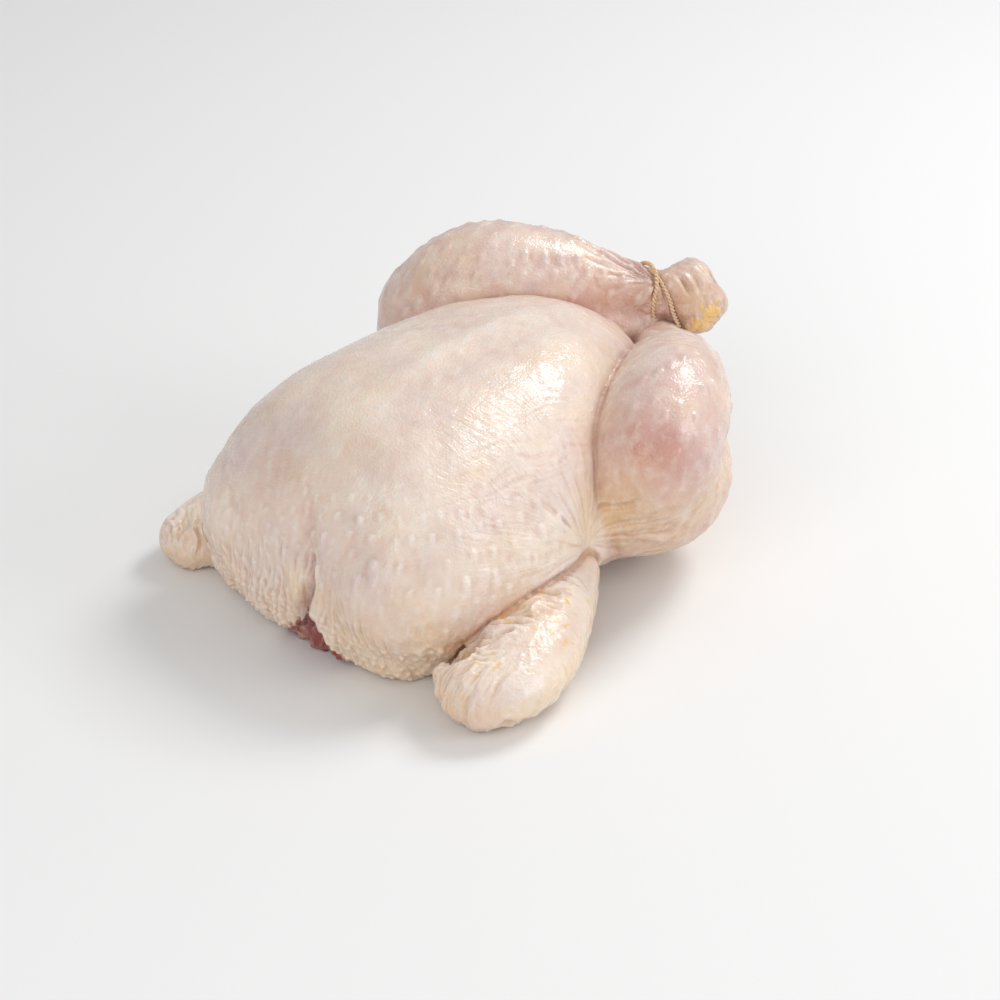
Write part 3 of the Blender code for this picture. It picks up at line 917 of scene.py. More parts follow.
@dataclass
class Relief:
    """Folds, wrinkles and hollows of the skin, each worked in as a height."""

    corner: Triple = (91.0, -80.0, 44.0)  # where the right leg, wing and breast meet

    HOCK_MARKS = (  # how high, where and how wide: bone ends, the slit and its folds
        (0.6, (237, -11, 108), (5, 6, 5)),
        (-2.4, (246.5, -14.5, 101.0), (3.0, 3.0, 4.5)),
        (-1.9, (232.5, -15.0, 103.0), (1.1, 4.5, 4.5)),
        (0.9, (229.8, -13.5, 104.0), (1.2, 4.0, 4.5)),
        (-2.0, (227.4, -12.5, 102.5), (1.0, 4.0, 5.0)),
        (0.7, (225.2, -11.0, 102.0), (1.1, 3.6, 4.5)),
        (-2.4, (253, 22, 72), (3.4, 3.4, 2.6)),
    )
    SCALES = (
        (1.0, (236.5, -23.5, 90.0), (6.5, 6.5, 5.0)),
        (1.0, (232.0, -18.5, 83.0), (7.0, 7.0, 5.0)),
        (1.0, (240.0, 21.0, 60.0), (7.0, 7.0, 6.0)),
    )
    TAIL_GROOVES = (
        (-1.8, (212, 0, 50), (14, 2.4, 9)),
        (-1.2, (206, -12, 44), (12, 3.0, 12)),
        (-1.2, (206, 12, 44), (12, 3.0, 12)),
    )

    def uneven(self, points: Array) -> Array:
        """Return the slow swells that keep any form from being perfectly smooth."""
        broad = 0.75 * Noise(1)(points, 30.0) + 0.38 * Noise(2)(points, 13.0)
        return broad + 0.13 * Noise(3)(points, 5.5)

    def keel(self, points: Array, normals: Array) -> Array:
        """Return the keel bone's soft ridge and the shallow troughs beside it."""
        x, y, _z = points.T
        along = ramp(x, 20.0, 60.0) * ramp(x, 182.0, 150.0) * ramp(normals[:, 2], 0.3, 0.8)
        apart = y + 3.0 + 1.5 * np.sin(x / 25.0)
        ridge = 0.6 * bell(apart, 6.0)
        trough = -0.5 * bell(np.abs(apart) - 15.0, 9.0)
        return along * (ridge + trough)

    def neck_valley(self, points: Array) -> Array:
        """Return the shallow valley that runs up from the cleft over the breast."""
        x, y, z = points.T
        middle = -14.0 + 0.22 * np.clip(z - 50.0, 0, None)
        fade = ramp(z, 96.0, 54.0) * ramp(z, 34.0, 52.0) * ramp(x, 30.0, 6.0)
        dent = patch(points, (4.0, 16.0, 78.0), (14.0, 15.0, 16.0))
        return -2.6 * fade * bell(y - middle, 7.0) - 1.4 * dent

    def girth_lines(self, points: Array) -> Array:
        """Return the fine lines of stretched skin along the breast's right flank."""
        x, y, z = points.T
        girth = np.arctan2(z - 42.0, -y) * 78.0 + 0.10 * (x - 60.0)
        warp = Noise(21)(points, 16.0) * 2.6
        place = np.stack([x / 15.0, (girth + warp) / 2.3, np.zeros_like(x)], 1)
        fine = Noise(22).ridges(place)
        mask = patch(points, (52, -62, 90), (34, 24, 17)) * ramp(-y, 10.0, 34.0)
        mask += 0.5 * patch(points, (95, -60, 95), (26, 22, 18))
        return 0.20 * mask * fine

    def strain(self, points: Array, normals: Array, parts: Belonging) -> tuple[Array, Array]:
        """Return each point's place in the pattern of fine stretched lines, and their strength."""
        x, y, z = points.T
        apart = np.hypot(x - 98.0, z - 40.0)
        swing = np.arctan2(z - 40.0, 98.0 - x)
        warp = Noise(26)(points, 18.0)
        right = ramp(-y, -6.0, 26.0)
        place = np.stack([swing * 26.0 + warp * 1.6, apart / 16.0, 0.4 * warp], 1)
        torso = parts.share(Part.TORSO)
        amount = 0.35 + 0.65 * patch(points, (56, -58, 92), (44, 30, 34))
        amount = amount * torso * right * ramp(x, 8.0, 26.0) * ramp(x, 97.0, 84.0)
        upright = np.stack([(y + 0.1 * z + warp) / 1.5, z / 12.0, x / 20.0], 1)
        front = ramp(x, 8.0, 0.0)
        place = np.where(front[:, None] > 0.0, upright, place)
        pleats = 0.55 * front * ramp(z, 80.0, 30.0)
        amount = np.maximum(amount, pleats)
        return place, amount

    def corner_rays(self, points: Array, parts: Belonging) -> Array:
        """Return the wrinkles that spread from the corner between leg, wing and breast."""
        apart = points - np.array(self.corner)
        reach = np.linalg.norm(apart, axis=1)
        angle = np.arctan2(apart[:, 2], -apart[:, 0])
        place = np.stack([angle * 9.0, reach / 26.0, np.full_like(reach, 0.5)], 1)
        place[:, 0] += Noise(24)(points, 14.0) * 0.9
        rays = Noise(25).ridges(place)
        facing = ramp(-points[:, 1], 40.0, 66.0)
        torso = parts.share(Part.TORSO) * ramp(reach, 74.0, 22.0) * 0.36
        leg = parts.share(Part.LEG_RIGHT) * ramp(reach, 52.0, 18.0) * 0.85
        return facing * (torso + leg) * rays * ramp(reach, 2.0, 10.0)

    def thigh_valley(self, points: Array, parts: Belonging) -> Array:
        """Return the soft valley between the right drumstick and its thigh."""
        x, y, z = points.T
        middle = 64.0 - 0.10 * (x - 150.0) + 1.5 * np.sin(x / 9.0)
        along = ramp(x, 156.0, 184.0) * ramp(x, 212.0, 196.0) * ramp(-y, 20.0, 40.0)
        deep = bell(z - middle, 9.0) + 0.5 * bell(z - middle, 2.5)
        return -2.4 * deep * along * parts.share(Part.LEG_RIGHT)

    def drum_bands(self, points: Array) -> Array:
        """Return the fine bands across the tops of both drumsticks."""
        x, y, z = points.T
        right = patch(points, (168, -58, 106), (24, 22, 16))
        left = patch(points, (188, 36, 118), (26, 22, 18)) * 0.35
        total = np.zeros(len(points))
        for seed, mask, away in ((31, right, 1.0), (32, left, -1.0)):
            along = (x + away * y) * 0.707
            across = (x - away * y) * 0.707
            place = np.stack([along / 3.2, across / 15.0, z / 12.0], 1)
            place[:, 0] += Noise(seed + 5)(points, 12.0) * 0.8
            total += mask * Noise(seed).ridges(place)
        return 0.34 * total

    def neck_folds(self, points: Array, cleft: Cleft) -> Array:
        """Return the upright folds of loose skin beside the cleft and round the rim."""
        x, y, z = points.T
        front = ramp(x, 30.0, 6.0)
        aside = y - cleft.middle(z)
        left = ramp(aside, 0.0, 3.0) * ramp(aside, 90.0, 60.0)
        beside = left * ramp(aside, 30.0, 12.0) * ramp(z, 66.0, 40.0)
        rim_left = left * ramp(z, 52.0, 20.0)
        rim_right = ramp(aside, 0.0, -3.0) * ramp(z, 50.0, 16.0) * 0.8
        lean = y + 0.10 * z + Noise(41)(points, 15.0) * 2.6
        place = np.stack([lean / 4.2, z / 20.0, x / 30.0], 1)
        broad = Noise(42).ridges(place)
        fine = Noise(43).ridges(place * np.array((2.1, 1.6, 1.0)))
        mask = front * np.maximum(np.maximum(beside, rim_left), rim_right)
        height = ramp(z, 56.0, 45.0) * ramp(z, 10.0, 22.0) * front
        tucked = ramp(aside, -0.5, 0.5)
        strip = -3.0 * tucked * ramp(aside, 15.0, 1.5)
        strip -= 4.2 * bell(aside - 1.2, 1.2)
        wrinkle = Noise(44).ridges(np.stack([lean / 1.7, z / 9.0, x / 30.0], 1))
        strip += 0.55 * wrinkle * tucked * ramp(aside, 14.0, 7.0)
        lip = 1.3 * ramp(aside, 0.4, -0.6) * bell(aside, 4.5)
        return mask * (1.15 * broad + 0.55 * fine) + (strip + lip) * height

    def ragged_flesh(self, points: Array, cleft: Cleft) -> Array:
        """Return the uneven flesh that shows where the skin is torn."""
        rough = Noise(45)(points, 2.6) + 0.8 * Noise(46)(points, 5.2)
        return cleft.torn(points) * 1.3 * rough

    def overlap(self, points: Array, cleft: Cleft) -> Array:
        """Return how far the right lip leans over the cleft, along the bird's width."""
        x, y, z = points.T
        aside = y - cleft.middle(z)
        near = ramp(x, 12.0, 0.0) * ramp(z, 58.0, 40.0) * ramp(z, 2.0, 10.0)
        return 1.9 * near * ramp(aside, 0.9, -0.4) * bell(aside, 3.5)

    def wing_folds(self, points: Array, parts: Belonging) -> Array:
        """Return the crumpled skin along the inner edge of each folded wing."""
        x, y, z = points.T
        total = np.zeros(len(points))
        for part, side, seed in ((Part.WING_RIGHT, 1.0, 51), (Part.WING_LEFT, -1.0, 55)):
            warp = np.stack([Noise(seed + k)(points, 6.0) for k in (5, 6)], 1) * 1.5
            along = x * 0.97 + side * y * 0.24
            across = -side * y - (84.0 + (64.0 - x) * 0.13)
            slanted = along + warp[:, 0] - 0.35 * across
            place = np.stack([slanted, across + warp[:, 1], z * 0.8], 1)
            broad = Noise(seed + 1).ridges(place, (4.4, 15.0, 15.0)) - 0.35
            fine = Noise(seed + 2).ridges(place, (2.5, 6.0, 6.0)) - 0.35
            uneven = 0.75 + 0.45 * Noise(seed + 7)(points, 11.0)
            inner = ramp(across, 14.0, 6.0) * ramp(z, 10.0, 20.0) * ramp(x, 84.0, 70.0)
            fold = (2.3 * broad + 0.9 * fine) * inner * uneven
            slanted = np.stack([along - 0.6 * across + 1.4 * warp[:, 0], across, z], 1)
            lines = Noise(seed + 3).ridges(slanted, (2.1, 7.0, 7.0))
            outer = 0.30 * lines * ramp(across, 2.0, 10.0) * np.clip(uneven - 0.4, 0.0, 1.0)
            edge = ramp(z, 7.0, 2.5) * np.abs(np.sin(along * 1.15)) * 0.6
            wrist = ramp(x, 10.0, 0.0) * Noise(seed + 4).ridges(points, (9.0, 3.0, 20.0))
            total += parts.share(part) * (fold + outer + edge + 0.35 * wrist)
        return total

    def hock(self, points: Array) -> Array:
        """Return the slit, the scales and the folds of skin at the ends of the legs."""
        total = patches(points, self.HOCK_MARKS)
        scales = self.scales(points)
        total += scales * (0.2 + 0.8 * Noise(61).ridges(points, 2.0))
        ends = ramp(points[:, 0], 226.0, 236.0)
        wrinkle = Noise(65).ridges(points, (2.6, 6.0, 4.0)) - 0.3
        total += ends * 0.55 * wrinkle * (1.0 - scales)
        return total + ends * (Noise(62)(points, 3.0) * 0.25 + Noise(63)(points, 7.0) * 0.6)

    def scales(self, points: Array) -> Array:
        """Return 1 on the scraps of yellow shank skin that the hocks keep."""
        soft = patches(points, self.SCALES)
        return ramp(soft + 0.42 * Noise(64)(points, 2.0), 0.52, 0.70)

    def vent(self, points: Array) -> Array:
        """Return the puckered skin round the vent and the groove on the tail."""
        x, y, z = points.T
        angle = np.arctan2(z - 60.0, y)
        reach = np.sqrt(y**2 + (z - 60.0) ** 2)
        ring = ramp(x, 184.0, 196.0) * ramp(reach, 26.0, 12.0) * ramp(x, 214.0, 206.0)
        place = np.stack([angle * 4.0, reach / 12.0, x / 20.0], 1)
        tail = patches(points, self.TAIL_GROOVES)
        slack = patch(points, (204, 0, 38), (24, 34, 26))
        wrinkle = Noise(72).ridges(points + Noise(73)(points, 9.0)[:, None], (5.0, 8.0, 4.0))
        return 0.9 * ring * Noise(71).ridges(place) + tail + 0.9 * slack * wrinkle

    def back_folds(self, points: Array, normals: Array) -> Array:
        """Return the slack folds under the bird, round the shoulders and the hips."""
        down = ramp(normals[:, 2], 0.1, -0.5)
        place = points / np.array((9.0, 22.0, 12.0)) + Noise(81)(points, 20.0)[:, None] * 0.5
        return 0.7 * down * Noise(82).ridges(place)

    def creases(self, parts: Belonging) -> Array:
        """Return the thin grooves where one part meets another, and their rolled edges."""
        total = np.zeros(len(parts.torso))
        own = parts.share(Part.TORSO, 1.8)
        limbs = (Part.LEG_RIGHT, Part.LEG_LEFT, Part.WING_RIGHT, Part.WING_LEFT)
        for limb, amount in zip(limbs, (1.0, 0.7, 0.9, 0.7)):
            total += 0.8 * amount * own * parts.crease(limb, 4.6)
            total -= 1.6 * amount * parts.crease(limb, 1.9)
        return total


ANKLES_X = 225.0  # where the twine is tied
UPPER_ANKLE_Z, LOWER_ANKLE_Z, BETWEEN_ANKLES_Z = 94.5, 71.5, 83.0


class Cord:
    """The closed line of the twine: round the upper ankle, then round both."""

    RADIUS = 0.8 * MM
    GAP = 0.32 * MM
    BITE = 0.55 * MM
    CENTRES = ((ANKLES_X, 1.5, UPPER_ANKLE_Z), (ANKLES_X, 0.0, BETWEEN_ANKLES_Z))
    UPPER_LIMIT = 12.5  # from the upper ankle's middle down to the lower one's top
    STEPS = 66
    FAR_OUT = 30.0
    SWAY = (  # angle from the top, then how far each turn sways along the bird
        (0, -4.5, -4.4), (16, -6.0, -5.4), (30, -8.0, -5.6), (50, -10.5, -5.0),
        (75, -11.8, -2.5), (102, -11.8, 0.5), (140, -10.8, 4.5), (180, -7.0, 3.0),
        (225, -5.0, -2.0), (270, -5.0, 0.0), (315, -4.0, 2.0), (340, -4.0, -1.0),
        (360, -4.5, -4.4),
    )

    def taut(self, reaches: Array) -> Array:
        """Return the reach of a taut loop at evenly spaced angles, bridging hollows."""
        count = len(reaches)
        angles = 2 * math.pi * np.arange(count) / count
        places = np.stack((np.sin(angles), np.cos(angles)), 1) * reaches[:, None]
        bridged = reaches.copy()
        for k, angle in enumerate(angles):
            ray = np.array((math.sin(angle), math.cos(angle)))
            for before in range(1, count // 2):
                for after in range(1, count // 2 - before):
                    a, b = places[k - before], places[(k + after) % count]
                    edge = b - a
                    turned = ray[0] * edge[1] - ray[1] * edge[0]
                    if abs(turned) > 1e-6:
                        crossing = (a[0] * edge[1] - a[1] * edge[0]) / turned
                        bridged[k] = max(bridged[k], crossing)
        return bridged

    def reach(self, skin: BVHTree, centre: Vector, ray: Vector, turn: int) -> float:
        """Return how far the skin lies from the middle of a turn, along a ray."""
        if turn == 0:
            hit = skin.ray_cast(centre, ray, self.UPPER_LIMIT)[0]
            return (hit - centre).length if hit else self.UPPER_LIMIT
        hit = skin.ray_cast(centre + ray * self.FAR_OUT, -ray, self.FAR_OUT)[0]
        return (hit - centre).length if hit else self.RADIUS

    def line(self, skin: BVHTree) -> Array:
        """Return the twine's line over the skin, in units.

        Args:
            skin: The skin, in units.

        Returns:
            Points of one closed line.
        """
        angles = np.arange(self.STEPS) * 360 / self.STEPS
        table = np.array(self.SWAY)
        points = []
        for turn in range(2):
            sways = evened(np.interp(angles, table[:, 0], table[:, turn + 1]))
            reaches, rays = [], []
            for angle, sway in zip(np.radians(angles), sways):
                ray = Vector((0, -math.sin(angle), math.cos(angle)))
                centre = Vector(self.CENTRES[turn]) + Vector((sway, 0, 0))
                reaches.append(self.reach(skin, centre, ray, turn))
                rays.append((centre, ray))
            tight = evened(self.taut(np.array(reaches)) if turn else np.array(reaches))
            for angle, reach, (centre, ray) in zip(np.radians(angles), tight, rays):
                lift = (self.RADIUS + self.GAP) * math.cos(angle / 2)
                lift = lift if turn == 0 else -lift
                over = max(0.0, math.cos(angle)) ** 2
                clear = self.RADIUS - self.BITE + over * (lift + self.RADIUS)
                points.append(centre + ray * (reach + clear))
        return np.array(points)


# the tints laid over the cream skin; several of them also carry painted shade and painted light
TINTS = ("pale", "mauve", "pink", "painted_shade_and_bare", "fat", "flesh")  # from the first laid to the last


@dataclass(frozen=True)
class SkinFinish:
    """Raw skin: thin, moist and slightly see-through over flesh and fat."""

    cream: Triple = (0.83, 0.68, 0.555)
    # the skin's own paler tone, also the colour of the painted light and painted highlights
    pale: Triple = (0.90, 0.82, 0.745)
    pink: Triple = (0.66, 0.36, 0.30)
    mauve: Triple = (0.55, 0.40, 0.43)
    # also the colour of painted warm bounce light low on the front and under the wings
    fat: Triple = (0.82, 0.52, 0.15)
    # a brown used for painted shade in hollows, creases, the pocket, the cleft's fold and under the
    # legs, and for the darker hocks and ankle
    painted_shade_and_bare: Triple = (0.50, 0.31, 0.25)
    flesh: Triple = (0.27, 0.035, 0.024)

    def material(self) -> bpy.types.Material:
        """Return the skin's material, tinted by the mesh's own colour layers."""
        made = Nodes("chicken_skin")
        colour = made.colour(self.cream)
        for name in TINTS:
            colour = made.mix(made.layer(name), colour, made.colour(getattr(self, name)))
        place = made.node("ShaderNodeTexCoord").outputs["Object"]
        blotch = made.between(made.noise(place, 70.0, 4.0, 0.6), 0.35, 0.70, 0.14)
        colour = made.mix(blotch, colour, made.colour(self.pink))
        cloud = made.between(made.noise(place, 190.0, 3.0, 0.6), 0.45, 0.75, 0.35)
        colour = made.mix(cloud, colour, made.colour(self.pale))
        made.link(colour, "Base Color")

        pores = made.voronoi(place, 950.0)
        grain = made.noise(place, 1500.0, 3.0, 0.6)
        strained = made.noise(made.layer("strain", "Vector"), 1.0, 3.0, 0.6)
        lines = made.times(strained, made.layer("strained"))
        height = made.add(made.times(pores, 0.55), made.times(grain, 0.35))
        made.bump("Normal", made.add(height, made.times(lines, 3.0)), 0.9, 0.00034)
        wet = made.add(made.times(made.noise(place, 420.0, 2.0, 0.5), 0.9), made.times(pores, 0.2))
        made.bump("Coat Normal", made.add(wet, made.times(lines, 3.4)), 0.95, 0.00038)
        for name, value in (
            ("Roughness", 0.44),
            ("Subsurface Weight", 0.18),
            ("Subsurface Radius", (1.0, 0.42, 0.24)),
            ("Subsurface Scale", 0.0013),
            ("Coat Weight", 0.62),
            ("Coat Roughness", 0.13),
            ("IOR", 1.42),
        ):
            made.set(name, value)
        return made.material


class Nodes:
    """A short way to write a material's nodes."""

    def __init__(self, name: str) -> None:
        """Start a material with one Principled BSDF."""
        self.material = bpy.data.materials.new(name)
        self.material.use_nodes = True
        self.tree = self.material.node_tree
        self.shader = self.tree.nodes["Principled BSDF"]

    def node(self, kind: str) -> bpy.types.Node:
        """Return a new node of this kind."""
        return self.tree.nodes.new(kind)

    def set(self, name: str, value: float | tuple[float, ...]) -> None:
        """Set one of the shader's own sockets."""
        socket = self.shader.inputs[name]
        if isinstance(value, tuple) and len(socket.default_value) == 4:
            value = (*value, 1.0)
        socket.default_value = value

    def link(self, output: Socket, name: str) -> None:
        """Feed one of the shader's sockets."""
        self.tree.links.new(output, self.shader.inputs[name])

    def colour(self, colour: Triple) -> Socket:
        """Return a colour that the other nodes can mix."""
        node = self.node("ShaderNodeRGB")
        node.outputs[0].default_value = (*colour, 1.0)
        return node.outputs[0]

    def layer(self, name: str, output: str = "Fac") -> Socket:
        """Return one of the mesh's layers of numbers, or of places."""
        node = self.node("ShaderNodeAttribute")
        node.attribute_name = name
        return node.outputs[output]

    def mix(self, amount: Socket, a: Socket, b: Socket) -> Socket:
        """Return colour a turned towards colour b by the amount."""
        node = self.node("ShaderNodeMix")
        node.data_type = "RGBA"
        for output, place in ((amount, "Factor"), (a, 6), (b, 7)):
            self.tree.links.new(output, node.inputs[place])
        return node.outputs[2]

    def texture(self, kind: str, place: Socket, **values: float) -> bpy.types.Node:
        """Return a texture's node, read at this place, with these values set."""
        node = self.node(kind)
        self.tree.links.new(place, node.inputs["Vector"])
        for name, value in values.items():
            node.inputs[name].default_value = value
        return node

    def noise(self, place: Socket, scale: float, detail: float, rough: float) -> Socket:
        """Return a noise of this many swells to a metre."""
        values = {"Scale": scale, "Detail": detail, "Roughness": rough}
        return self.texture("ShaderNodeTexNoise", place, **values).outputs["Fac"]

    def voronoi(self, place: Socket, scale: float) -> Socket:
        """Return the distance to the nearest of many scattered points."""
        return self.texture("ShaderNodeTexVoronoi", place, Scale=scale).outputs["Distance"]

    def between(self, source: Socket, low: float, high: float, end: float) -> Socket:
        """Return the source read from low to high as numbers from 0 to the end."""
        node = self.node("ShaderNodeMapRange")
        self.tree.links.new(source, node.inputs["Value"])
        for name, number in (("From Min", low), ("From Max", high), ("To Max", end)):
            node.inputs[name].default_value = number
        return node.outputs["Result"]

    def sum_or_product(self, kind: str, a: Socket, b: Socket | float) -> Socket:
        """Return two numbers added or multiplied."""
        node = self.node("ShaderNodeMath")
        node.operation = kind
        self.tree.links.new(a, node.inputs[0])
        if isinstance(b, float):
            node.inputs[1].default_value = b
        else:
            self.tree.links.new(b, node.inputs[1])
        return node.outputs[0]

    def add(self, a: Socket, b: Socket | float) -> Socket:
        """Return a plus b."""
        return self.sum_or_product("ADD", a, b)

    def times(self, a: Socket, b: Socket | float) -> Socket:
        """Return a times b."""
        return self.sum_or_product("MULTIPLY", a, b)

    def bump(self, name: str, height: Socket, strength: float, distance: float) -> None:
        """Give the surface, or its coat, this fine relief."""
        node = self.node("ShaderNodeBump")
        node.inputs["Strength"].default_value = strength
        node.inputs["Distance"].default_value = distance
        self.tree.links.new(height, node.inputs["Height"])
        self.link(node.outputs["Normal"], name)


@dataclass(frozen=True)
class TwineFinish:
    """Plain cotton butcher's twine, a little darker between its fibres."""

    fibre: Triple = (0.86, 0.68, 0.48)
    shade: Triple = (0.66, 0.45, 0.27)

    def material(self) -> bpy.types.Material:
        """Return the twine's material."""
        made = Nodes("cotton_twine")
        place = made.node("ShaderNodeTexCoord").outputs["Object"]
        strands = made.noise(place, 2600.0, 2.0, 0.5)
        amount = made.between(strands, 0.35, 0.65, 1.0)
        colour = made.mix(amount, made.colour(self.shade), made.colour(self.fibre))
        made.link(colour, "Base Color")
        made.bump("Normal", strands, 0.6, 0.0001)
        made.set("Roughness", 0.85)
        made.set("Specular IOR Level", 0.25)
        return made.material


@dataclass
class Chicken:
    """The bird's skin as one mesh."""

    forms: BirdForms = field(default_factory=BirdForms)
    cleft: Cleft = field(default_factory=Cleft)
    pocket: Pocket = field(default_factory=Pocket)
    relief: Relief = field(default_factory=Relief)
    follicles: Follicles = field(default_factory=Follicles)
    finish: SkinFinish = field(default_factory=SkinFinish)
    voxel: float = 1.0
    quick_voxel: float = 1.5
    leg_fillet: float = 2.4
    gather_x: float = 217.5  # where the upper leg's puckers meet under the twine
    gather_turn: float = 0.55  # and how far round the leg, in radians

    SPOTS = {  # how strong, where and how wide
        "pink": (
            (1.00, (114, -94, 94), (9, 9, 11)),
            (0.50, (118, -98, 86), (19, 18, 20)),
            (0.42, (196, 2, 97), (26, 24, 12)),
            (0.30, (206, 0, 52), (16, 20, 16)),
            (0.25, (205, -18, 76), (26, 22, 14)),
            (0.14, (2, 10, 74), (14, 16, 14)),
        ),
        "mauve": (
            (0.35, (122, -100, 78), (26, 24, 22)),
            (0.25, (10, 30, 82), (20, 34, 22)),
        ),
        "mauve_mottled": (
            (0.30, (20, 60, 74), (40, 26, 26)),
            (0.28, (0, -44, 64), (16, 24, 20)),
        ),
        "fat": (
            (0.22, (206, 0, 40), (22, 28, 24)),
            (0.20, (236, -12, 98), (14, 18, 16)),
            (0.30, (98, -82, 66), (14, 14, 26)),
            (0.16, (140, 58, 108), (20, 20, 20)),
        ),
        "pale": (
            # painted light: the lit top of the left drumstick, the breast's right flank and the
            # left hock drawn paler, the hock over its own creamier tone
            (0.35, (165, 52, 126), (34, 26, 14)),
            (0.45, (70, -82, 54), (44, 22, 30)),
            (0.15, (240, -12, 98), (14, 22, 18)),
        ),
        # darker brown over both hocks and the ankle between the legs
        "painted_shade_and_bare": (
            (0.60, (236, -10, 93), (19, 26, 22)),
            (1.00, (217, 0, 94), (13, 15, 14)),
            (0.55, (238, 12, 70), (16, 22, 16)),
        ),
        "flesh": (
            (0.90, (204, 0, 60), (10, 9, 8)),
            (0.16, (114, -94, 94), (10, 10, 12)),
            (0.70, (246.5, -14.5, 101.0), (2.6, 3.0, 4.5)),
        ),
    }

    def shape(self) -> tuple[Surface, Belonging]:
        """Return the fused forms as a surface, and which part each point belongs to."""
        volume = Volume(voxel=self.voxel)
        cells = self.forms.parts(Loft(), volume)
        x, _y, z = volume.axes()
        bird = blend(cells[Part.TORSO], cells[Part.LEG_RIGHT], self.leg_fillet)
        bird = blend(bird, cells[Part.LEG_LEFT], self.leg_fillet)
        low = np.clip((62.0 - z) / 14.0, 0.0, 1.0) * np.clip((x - 90.0) / 14.0, 0.0, 1.0)
        low = low * np.clip((214.0 - x) / 12.0, 0.0, 1.0)
        bird = bird * (1.0 - low) + softened(bird, 9.0 / volume.voxel) * low
        wings_soft = (1.4 + 4.0 * np.clip((14.0 - z) / 14.0, 0.0, 1.0)).astype(np.float32)
        whole_wing = cells[Part.WING_RIGHT]
        cells[Part.WING_RIGHT] = self.pocket.carved(whole_wing, volume)
        bird = blend(bird, cells[Part.WING_RIGHT], wings_soft)
        bird = blend(bird, cells[Part.WING_LEFT], wings_soft)
        uncut = np.minimum(bird, whole_wing)
        bird = self.cleft.carved(bird, volume)
        bird = np.maximum(bird, -z)
        surface = Surface(*volume.surface(bird.astype(np.float32)))
        surface.relax(4)

        def belonging() -> Belonging:
            """Return which part each point of the surface belongs to."""
            own = (volume.read(cells[part], surface.points) for part in Part)
            return Belonging(*own, -volume.read(uncut, surface.points))

        surface.refine(self.detailed(surface.points, belonging()))
        near = self.detailed(surface.points, belonging()).astype(float)[:, None]
        surface.relax(3, near * 0.5)
        return surface, belonging()

    def detailed(self, points: Array, parts: Belonging) -> Array:
        """Return whether each point lies where the skin has its finest folds."""
        x, y, z = points.T
        leg_crease = (np.abs(parts.torso) + np.abs(parts.leg_right) < 5.0) & (z > 24.0)
        neck = (x < 14.0) & (z < 56.0) & (y < 64.0) & (y > -72.0)
        ankles = (x > 204.0) & (z > 50.0)
        right_wing = (x < 92.0) & (y < -72.0) & (y > -112.0) & (z > 14.0) & (z < 44.0)
        left_wing = (x < 60.0) & (y > 74.0) & (z > 10.0) & (z < 40.0)
        return neck | ankles | right_wing | left_wing | leg_crease

    def work_relief(self, surface: Surface, parts: Belonging) -> Array:
        """Work folds and bumps into the skin, and return the bumps' tint."""
        relief = self.relief
        points, normals = surface.points, surface.normals()
        surface.raise_by(
            relief.uneven(points)
            + relief.keel(points, normals)
            + relief.neck_valley(points)
            + relief.hock(points)
            + relief.thigh_valley(points, parts)
        )
        ends = ramp(surface.points[:, 0], 226.0, 232.0) * ramp(surface.points[:, 2], 40.0, 50.0)
        surface.relax(3, 0.5 * ends[:, None])
        points, normals = surface.points, surface.normals()
        surface.raise_by(
            relief.girth_lines(points)
            + relief.corner_rays(points, parts)
            + relief.drum_bands(points)
            + relief.neck_folds(points, self.cleft)
            + relief.ragged_flesh(points, self.cleft)
            + relief.wing_folds(points, parts)
            + relief.vent(points)
            + relief.back_folds(points, normals)
            + relief.creases(parts)
        )
        crease = np.maximum(parts.crease(Part.LEG_RIGHT, 5.0), parts.crease(Part.LEG_LEFT, 5.0))
        surface.relax(5, 0.6 * crease[:, None])
        surface.points[:, 1] += relief.overlap(points, self.cleft)
        bumps, tint = self.follicles.bumps(surface, parts)
        rows = self.follicles.rows(surface, parts)
        surface.raise_by(bumps + rows)
        return np.maximum(tint, np.clip(rows * 1.3, 0.0, 1.0))

    def tie(self, surface: Surface, line: Array) -> None:
        """Press the twine into the skin, which gathers in puckers on both sides."""
        tree = tree_of(line)
        index = np.where(np.abs(surface.points[:, 0] - ANKLES_X) < 32.0)[0]
        points = surface.points[index]
        apart = np.array([tree.find(point)[2] for point in points])
        x, y, z = points.T
        limb_z = np.where(z > BETWEEN_ANKLES_Z, UPPER_ANKLE_Z, LOWER_ANKLE_Z)
        place = np.stack([np.arctan2(z - limb_z, y) * 3.4, x / 22.0, limb_z], 1)
        fold = Noise(91).ridges(place)
        heights = np.zeros(len(surface.points))
        heights[index] = (
            -1.1 * bell(apart, 1.5)
            + 0.5 * bell(apart - 4.2, 2.4)
            + 0.6 * fold * bell(apart, 11.0) * ramp(apart, 0.5, 3.0)
        )
        behind = self.gather_x - x
        circle = np.arctan2(y - 1.5 - behind, z - UPPER_ANKLE_Z - 0.24 * behind)
        sideways = (circle + self.gather_turn) * 12.0
        fan, reach = np.arctan2(sideways, behind), np.hypot(sideways, behind)
        spread = np.stack([fan * 3.3, reach / 30.0, np.full_like(fan, 0.3)], 1)
        gather = Noise(92).ridges(spread) + 0.5 * Noise(93).ridges(spread * 1.9) - 0.3
        gather *= 1.3 * ramp(reach, 0.5, 5.0) * ramp(reach, 34.0, 10.0)
        heights[index] += ramp(z, 80.0, 87.0) * ramp(behind, -1.5, 0.0) * gather
        surface.raise_by(heights)

    def hollows(self, surface: Surface) -> tuple[Array, Array]:
        """Return 1 in the skin's small hollows and 1 on its small crests: the masks for painted
        shade in the hollows and painted highlight on the crests.
        """
        normals = surface.normals()
        smooth = surface.points
        total = np.zeros(len(smooth))
        for step in range(1, 9):
            smooth = surface.averaged(smooth)
            if step in (2, 8):
                total += ((smooth - surface.points) * normals).sum(axis=1)
        return np.clip(total * 2.2, 0.0, 1.0), np.clip(-total * 2.2, 0.0, 1.0)

